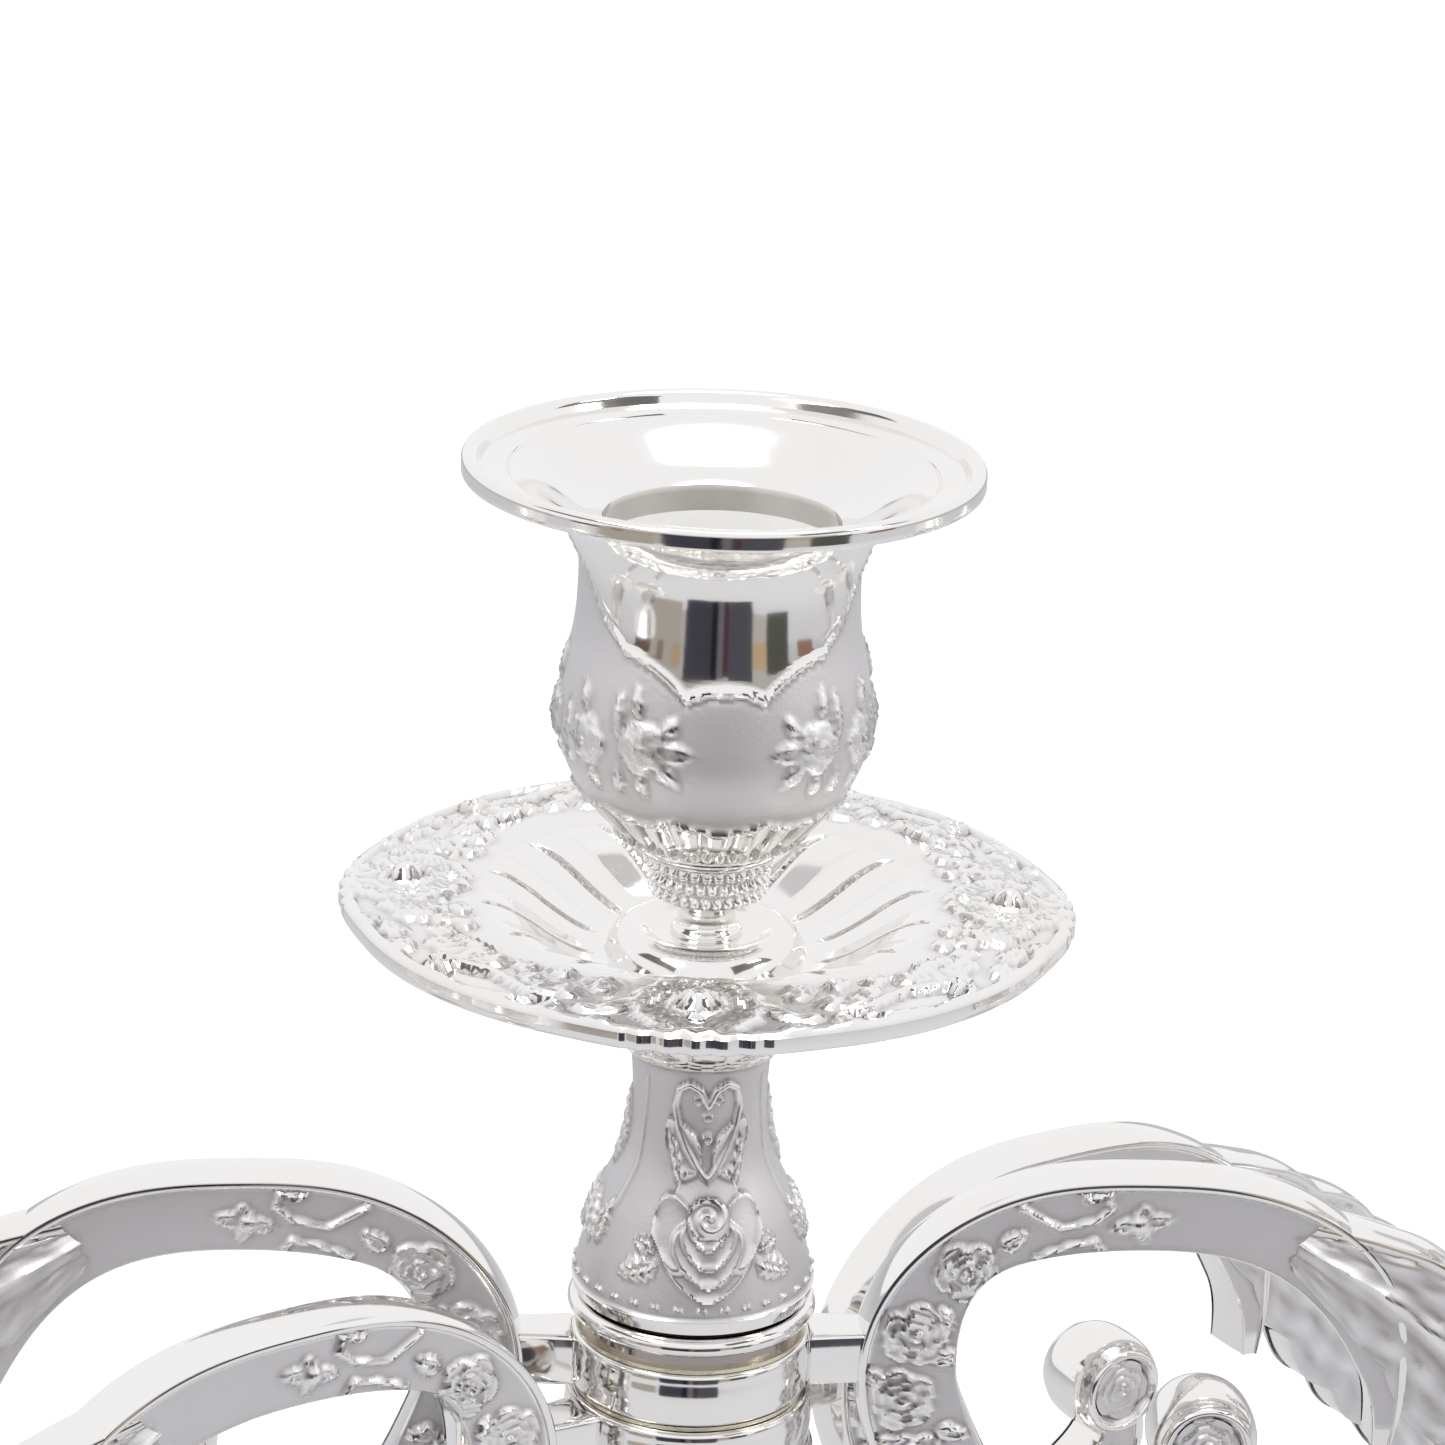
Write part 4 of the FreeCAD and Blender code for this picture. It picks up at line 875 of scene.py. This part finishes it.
flange_r, rosette_r = 28.4, 28.25
blank = turn_up("pan_blank", outline(
    ([(stud_hole, 3.6), (4.3, 3.6)], 0.8),
    ([(5.3, 3.75), (6.3, 4.25), (7.3, 4.35), (8.4, 3.85), (9.2, 2.75), (9.6, 1.9)], 0.30),
    ([(12.28, 2.29), (15.33, 3.88), (18.75, 6.14), (21.8, 7.18), (28.25, 7.4), (34.7, 6.86)], 0.36),
    ([(34.7, 5.9)], 0.3), ([(34.5, 5.35), (33.9, 5.2)], 0.2),
    ([(28.25, 6.0), (21.8, 5.78), (18.75, 4.74), (15.33, 2.48), (12.28, 0.89), (9.6, 0.5)], 1.7),
    ([(7.0, 0.0)], 0.9), ([(stud_hole, 0.0)], 1.6)), 392, closed=True)
places, outward, angle, r = surface(blank)
top = (outward[:, 2] > 0.1) & (places[:, 2] > 1.5)
flange = np.where(top, rise(r, 21.3, 21.9), 0) * (1 - rise(r, 34.1, 34.5))
near = np.abs(folded(angle, 0, 180))
from_front = np.where(near > 90, 180 - near, near)


def at(turn, radius):
    """Flat place, in mm, of a point `turn` degrees from the front lobe."""
    return turn * math.pi / 180 * flange_r, radius


x, y = np.radians(from_front) * flange_r, r
lift = 0 * r
from_lobe = folded(angle, 0, 90)
for middle in (0, 90, 180, 270):
    turn = np.radians(folded(angle, middle, 360))
    petals = rosette(r * np.sin(turn), r * np.cos(turn) - rosette_r, 6.1, 1.8)
    lift = np.maximum(lift, np.where(np.abs(np.degrees(turn)) < 20, petals, 0))
garland = [(12.5, 26.6, 3.6, 1.2, 100), (13.5, 31.5, 3.2, 1.2, -100), (17, 32.2, 3.0, 1.1, 60),
           (20, 31.2, 3.4, 1.3, 20), (21, 27.0, 3.6, 1.3, -35), (24, 30.0, 3.2, 1.2, 60),
           (26.5, 27.0, 3.6, 1.2, 10), (28, 31.4, 3.2, 1.2, 25), (31, 29.2, 3.4, 1.3, -10),
           (33.5, 26.3, 3.0, 1.0, 35), (15.5, 24.4, 3.4, 1.1, -20), (24, 24.6, 3.6, 1.1, 5)]
lift = highest(
    lift, *(leaf(x, y, *at(turn, radius), *shape, 0.65) for turn, radius, *shape in garland),
    rose(x, y, *at(17.5, 28.25), 2.5, 1.05),
    ridge(x, y, [at(12, 25.0), at(20, 25.6), at(28, 28.0), at(34, 28.2)], 0.4, 0.4),
    *(knob(x, y, *at(*berry), 0.55, 0.5) for berry in ((28.5, 33.2), (30.6, 33.5), (32.7, 33.4))),
    fan_shell(x, y, *at(41, 32.4), -90, 6.6, 44, 0.85, 9), curl(x, y, *at(42, 31.8), 1.5, 100, 430, 0.4, 0.9),
    ridge(x, y, [at(44, 30.2), at(50, 29.2), at(56, 29.9), at(62, 31.4), at(66, 31.8)], 0.62, 0.75),
    ridge(x, y, [at(43, 33.6), at(50, 34.0), at(56, 33.2), at(61, 32.6)], 0.45, 0.5))
lens = np.hypot((x - at(48.5, 32)[0]) / 2.6, (y - 31.6) / 1.35)
lift = np.where((lens < 1) & (flange > 0.5), -0.25 * (1 - lens ** 2), lift)
husk = np.where(lens > 0.98, ridge(x, y, [at(71, 31.4), at(75, 30.3), at(79, 28.0)], 1.0, 0.6), 0)
loose = [(60, 28.4, 200), (64, 28.8, 160), (68, 29.4, 215), (72, 27.6, 250), (76, 32.6, 120), (69, 33.0, 170),
         (56, 26.4, 190), (50, 26.6, 160), (64, 25.4, 185), (73, 25.2, 170)]
lift = highest(lift, husk * (0.75 + 0.25 * np.cos(np.radians(from_front * 72))),
               *(leaf(x, y, *at(turn, radius), 3.3, 1.2, heading, 0.6) for turn, radius, heading in loose))
lift = np.where(top, np.maximum(lift * flange, 0.40 * round_top(r - 33.9, 0.5)), 0)
dish = np.where(top & (r > 9.2) & (r < 21.9), 1.0, 0.0)
sweep_back = 21 * np.clip((r - 9) / 13, 0, 1) * np.sin(np.radians(near)) * np.sign(folded(angle, 0, 180))
groove = folded(angle + sweep_back, 15, 30)
cut = np.exp(-(np.radians(groove) * r / 0.30) ** 2) * rise(r, 10.6, 12.0) * (1 - rise(r, 20.6, 21.6))
swell = 0.20 * (1 - (groove / 15) ** 2) * rise(r, 11, 14) * (1 - rise(r, 20, 21.6))
lift = lift - 0.42 * dish * cut + dish * swell
satin = 0.16 * flange * (1 - rise(lift, 0.10, 0.30)) * (lens > 1)
lobe_end = np.cos(np.pi / 2 * np.clip(np.abs(from_lobe) / 24, 0, 1)) ** 2
shift = -1.0 * (1 - lobe_end) * rise(r, 29.0, 34.2)
shift -= 0.5 * (1 - np.abs(np.cos(np.pi * from_lobe / 4.4))) * (np.abs(from_lobe) < 11) * rise(r, 32.6, 34.2)
push_out(blank, shift)
chase(blank, lift, satin)
sites = {"centre": ("column", -6, 0)}
for level, turn in yoke_turns.items():
    sites[level + "_right"] = (level + "_yoke", turn, reach)
    sites[level + "_left"] = (level + "_yoke", turn + 180, reach)


def set_out(blank, kind, end):
    """Copies a blank to the five candles: on the column and at the ends of the arms."""
    for site, (body, turn, out_to) in sites.items():
        piece = in_scene(f"{site}_{kind}", blank.data.copy())
        move(piece, out_to, low_of(site + end))
        piece.data.transform(Matrix.Rotation(math.radians(turn), 4, "Z"))
        stand_in(piece, body, site + end)
    bpy.data.objects.remove(blank)


set_out(blank, "drip_pan", "_pan")


# ---- Candle cups ---------------------------------------------------------------------
# Cast in one mould and turned inside: a spool foot, a cone of beads, gadroon petals up
# to the satin belly with its rose sprays, a burnished bib and a flared lip.

blank = turn_up("cup_blank", outline(
    ([(2.1, 0), (3.3, 0)], 0.6),
    ([(3.4, 0.35), (2.9, 0.9), (2.75, 1.6), (2.85, 2.3), (3.6, 3.2), (5.0, 3.75)], 0.32),
    ([(5.35, 4.6), (5.5, 5.9), (5.75, 7.3), (6.0, 7.8)], 0.26),
    ([(6.45, 8.3), (6.45, 9.0), (6.2, 9.4)], 0.22),
    ([(8.6, 10.5), (11.06, 12.9), (13.3, 15.6), (14.5, 18.4), (14.95, 20.7), (14.8, 23.6),
      (14.35, 26.75), (13.65, 30.2), (13.4, 32.5)], 0.38),
    ([(13.33, 35.0), (13.45, 37.3), (14.1, 39.4), (15.6, 41.6), (18.2, 43.5), (20.6, 44.2),
      (22.4, 44.5)], 0.6), ([(23.5, 44.5)], 0.3), ([(23.9, 44.58), (24.0, 44.85)], 0.12),
    ([(24.0, 45.95)], 0.3), ([(23.82, 46.28), (23.3, 46.4), (22.78, 46.32), (22.5, 46.05)], 0.14),
    ([(22.12, 45.3)], 0.2), ([(21.0, 45.12), (19.95, 44.95)], 0.3),
    ([(19.8, 44.72), (19.6, 44.85)], 0.1),
    ([(18.3, 44.35), (15.4, 42.55), (12.7, 41.15), (11.4, 40.78), (11.0, 40.5)], 0.8),
    ([(11.0, 38.0)], 0.6), ([(11.0, 16.9)], 2.2), ([(10.9, 16.5), (10.5, 16.4)], 0.2),
    ([(0, 16.4)], 1.5)), 256)
places, _, angle, r = surface(blank)
z = places[:, 2]
inside_wall = np.interp(z, [16, 32.8, 37.4, 41.0, 43.4, 44.5], [12.3, 12.6, 12.8, 13.9, 16.6, 21.4])
outside = (z < 44.6) & (np.where(z > 16.0, r > inside_wall, r > 2.5)) & (z > 0.2)
face_turn, belly_r = -85.0, 14.6
near = np.abs(folded(angle, face_turn, 180))
hem = np.interp(near, [0, 6, 11, 15, 18, 22, 28.5, 35, 40, 41.5, 44, 48, 54, 61.5, 70, 80, 90],
                [28.15, 28.0, 27.7, 27.2, 28.0, 28.8, 29.7, 30.3, 30.55, 30.4, 31.2, 31.9, 32.9, 34.9,
                 37.0, 38.4, 39.0])
scallop = 14.3 + 0.9 * (np.abs(folded(angle, face_turn, 36)) / 18) ** 1.6
belly = np.where(outside, 1.0, 0.0) * rise(z, scallop + 0.1, scallop + 0.35) * (1 - rise(z, hem - 0.25, hem))
welt = 0.24 * np.exp(-((z - hem - 0.35) / 0.32) ** 2) - 0.12 * np.exp(-((z - hem + 0.35) / 0.22) ** 2)
lift = -0.30 * belly
lift += np.where(outside & (z > 24), welt, 0)
x = np.radians(np.abs(folded(angle, face_turn + 3, 180))) * belly_r


def sprig(x, z, wall_r, turn, height, tip_turn, tip_height, width, lift):
    """Leaf between two points of a round wall, each given as a turn and a height."""
    ax, bx = math.radians(turn) * wall_r, math.radians(tip_turn) * wall_r
    return leaf(x, z, ax, height, math.hypot(bx - ax, tip_height - height), width,
                math.degrees(math.atan2(tip_height - height, bx - ax)), lift)


sprigs = [(26, 22.5, 13.2, 22.4, 1.15), (27, 21.2, 18.5, 18.9, 0.9), (25, 24.0, 19.5, 25.9, 0.7),
          (43.0, 17.4, 43.0, 20.6, 0.7), (43.4, 22.9, 43.8, 27.6, 0.75), (35.5, 25.2, 37.5, 28.2, 0.7),
          (34, 19.8, 32.5, 17.2, 0.75), (68.5, 18.6, 73, 25.4, 0.95), (61, 24.4, 63.5, 27.6, 0.75),
          (57, 19.4, 55.0, 17.0, 0.75), (81, 20.4, 76.0, 18.2, 0.8), (90, 25.2, 90, 29.4, 0.8)]
roses = [(33, 22.5, 2.6, 0.85, 10), (59, 21.9, 2.5, 0.80, -20), (90, 22.3, 2.7, 0.80, 30)]
relief = highest(*(rose(x, z, math.radians(turn) * belly_r, *rest) for turn, *rest in roses),
                 *(sprig(x, z, belly_r, *ends, 0.45) for ends in sprigs))
lift = lift + relief * np.where(belly > 0.3, 1, 0)
petal_zone = np.where(outside & (z > 9.5), 1.0, 0.0) * (1 - rise(z, scallop - 0.05, scallop + 0.15))
lift += petal_zone * (0.55 * lobes(angle - face_turn, 24) - 0.45) * rise(z, 9.5, 11.2)
lift += np.where(outside, 0.22 * np.exp(-((z - scallop) / 0.26) ** 2), 0) * (z > 12)
neck_row = np.maximum(lift, 0.55 * beads(angle, r, (z - 10.45) / 1.05, 0.56, 7.5))
lift = np.where(outside & (np.abs(z - 10.45) < 0.75), neck_row, lift)
rows = highest(*(0.55 * beads(angle, r, z - height, size, 11.25, 5.6 * k)
                 for k, (height, size) in enumerate(((7.25, 0.55), (5.9, 0.52), (4.55, 0.50)))))
lift = np.where(outside & (z > 3.4) & (z < 8.0), rows - 0.15, lift)
chase(blank, lift, belly * (1 - 0.45 * rise(relief, 0.1, 0.4)))


def shade_hollows(piece, share):
    """Paints more shade on a finished piece: its share of painted hollow shade is at least `share` at each
    vertex.
    """
    stored = np.zeros(len(share) * 4, np.float32)
    piece.data.color_attributes["finish"].data.foreach_get("color", stored)
    stored[1::4] = np.maximum(stored[1::4], share)
    piece.data.color_attributes["finish"].data.foreach_set("color", stored)


# Painted shade on the top of the socket's bore, just under the lip's funnel.
shade_hollows(blank, np.where((r < 11.2) & (z > 37.9) & (z < 40.3), 0.6, 0.0))
# The socket's bore and floor get a matt near-white, non-metallic finish of their own.
pale_socket, tree, shader, place, _ = patchy("pale_socket_inside", (160, 4), (0.90, 0.89, 0.87),
                                        (0.95, 0.95, 0.94), 0.7, 0.0)
grain(tree, shader, cloudy(tree, place, 1800, 2, (1, 1, 6)), 0.00004)
blank.data.materials.append(plate)
blank.data.materials.append(pale_socket)
for face in blank.data.polygons:
    middle = face.center * 1000
    if math.hypot(middle.x, middle.y) < 11.05 and 16.3 < middle.z < 38.2:
        face.material_index = 1
set_out(blank, "candle_cup", "_cup")


# ---- Upper stem ----------------------------------------------------------------------
# The short casting that screws onto the tie rod and clamps the stack. A collar of petals
# at the top, and on two sides a heart of scrolls over a rose, with leaves and ferns.

h, wall_r = tall("upper_stem"), 9.5
stem, angle, r, z = casting("upper_stem_casting", "upper_stem", outline(
    ([(2.9, 0), (10.62, 0)], 1.6), ([(10.62, 1.29)], 0.3),
    ([(11.5, 1.55), (12.03, 2.4), (11.5, 3.25), (10.62, 3.5)], 0.22), ([(10.62, 3.87)], 0.2),
    ([(11.45, 3.87)], 0.3),
    ([(11.8, 5.54), (11.6, 7.38), (10.6, 11.29), (9.2, 15.2), (7.5, 19.11), (6.9, 22.88), (6.95, 26.38),
      (7.25, 29.89), (7.91, 34.9), (8.61, h)], 0.26), ([(stud_hole, h)], 1.4)), 420)
skin = np.where((z > 3.9) & (z < h - 0.2) & (r > 6), 1.0, 0.0)
turned = folded(angle, -87.2, 180)
across = np.radians(turned) * r
x = np.abs(across)
x_even = np.radians(np.abs(turned)) * wall_r
ground = skin * rise(z, 5.1, 5.5) * (1 - rise(z, 28.6, 29.2))


def petal(x, y, cx, cy, length, width, heading, fat):
    """How far each point is inside a cupped petal, and how near its turned-up rim."""
    c, s = math.cos(math.radians(heading)), math.sin(math.radians(heading))
    u = ((x - cx) * c + (y - cy) * s) / length
    w = np.abs(-(x - cx) * s + (y - cy) * c) / width
    half = np.sin(np.pi * np.clip(u, 0.001, 0.999) ** fat) ** 0.7
    inside = rise(1 - w / half, 0, 0.14) * (u > 0) * (u < 1)
    return inside, np.clip(np.maximum(w / half, rise(u, 0.72, 1.0)), 0, 1)


ear, ear_rim = petal(x, z, 0.9, 18.4, 6.2, 1.75, 62, 1.0)
relief = ear * (0.35 + 0.35 * ear_rim ** 4)
for *shape, level in ((0, 14.6, 7.6, 5.0, -90, 0.75, 0.62), (0, 15.2, 4.0, 2.4, 63, 1.3, 0.66),
                      (0.2, 13.8, 5.3, 3.8, -6, 1.3, 0.85), (0, 15.0, 6.6, 3.7, -90, 0.72, 1.02),
                      (0, 15.2, 5.2, 2.7, -90, 0.70, 1.22), (0, 15.4, 3.6, 1.9, -90, 0.68, 1.38)):
    inside, rim = petal(x, z, *shape)
    relief += inside * (level * (0.52 + 0.48 * rim ** 3) - relief)
bud = np.hypot(across, z - 14.9)
coil = np.cos(np.arctan2(z - 14.9, across) - bud * 4.6)
relief = np.where(bud < 1.9, 1.36 + 0.18 * coil - 0.05 * bud, relief)
heart = [(0, 25.2), (0.8, 26.9), (1.9, 27.5), (2.9, 26.9), (3.3, 25.3), (2.9, 23.2), (2.0, 21.1),
         (0.9, 19.2), (0, 18.2)]
rings = [(1.0, 25.9), (0, 24.1), (0, 22.0)]
leaves = [(17, 17.2, 32, 23.6, 0.85), (27, 10.6, 49, 8.6, 1.35), (29, 11.6, 43, 12.4, 0.9),
          (72, 10.0, 66, 15.0, 1.0), (80, 9.5, 86, 15.0, 1.1), (90, 17.0, 90, 25.0, 1.1)]
side_curve = [(56, 27.0), (60, 22.0), (58, 18.4), (62, 15.0), (76, 11.4)]
side_curve = [(math.radians(a) * wall_r, b) for a, b in side_curve]
drops = np.hypot(np.radians(folded(angle, 0, 11.25)) * r, z - 6.1)
relief = highest(
    relief, ridge(x, z, heart, 0.40, 0.55),
    *(0.5 * np.exp(-((np.hypot(x - cx, z - cz) - 0.42) / 0.17) ** 2) for cx, cz in rings),
    *(sprig(x_even, z, wall_r, *ends, 0.65) for ends in leaves), ridge(x_even, z, side_curve, 0.40, 0.20),
    0.42 * np.exp(-((drops - 0.36) / 0.13) ** 2) * (z > 6.0))
lift = ground * (relief - 0.45)
collar = 0.75 * lobes(angle, 12) * rise(z, 29.2, 31.0) - 0.2
lift = np.where(skin * rise(z, 29.2, 29.8) > 0.5, collar, lift)
lift += np.where(skin > 0, 0.35 * np.exp(-((z - 29.2) / 0.35) ** 2), 0)
chase(stem, lift, ground * (1 - 0.45 * rise(relief, 0.1, 0.45)))
# Painted dark shade in the turned grooves of the foot.
shade_hollows(stem, np.where((r > 9) & (r < 11.1) & (((z > 3.3) & (z < 3.95)) | (z < 1.35)), 1.0, 0.0))
stand_in(stem, "column", "upper_stem")
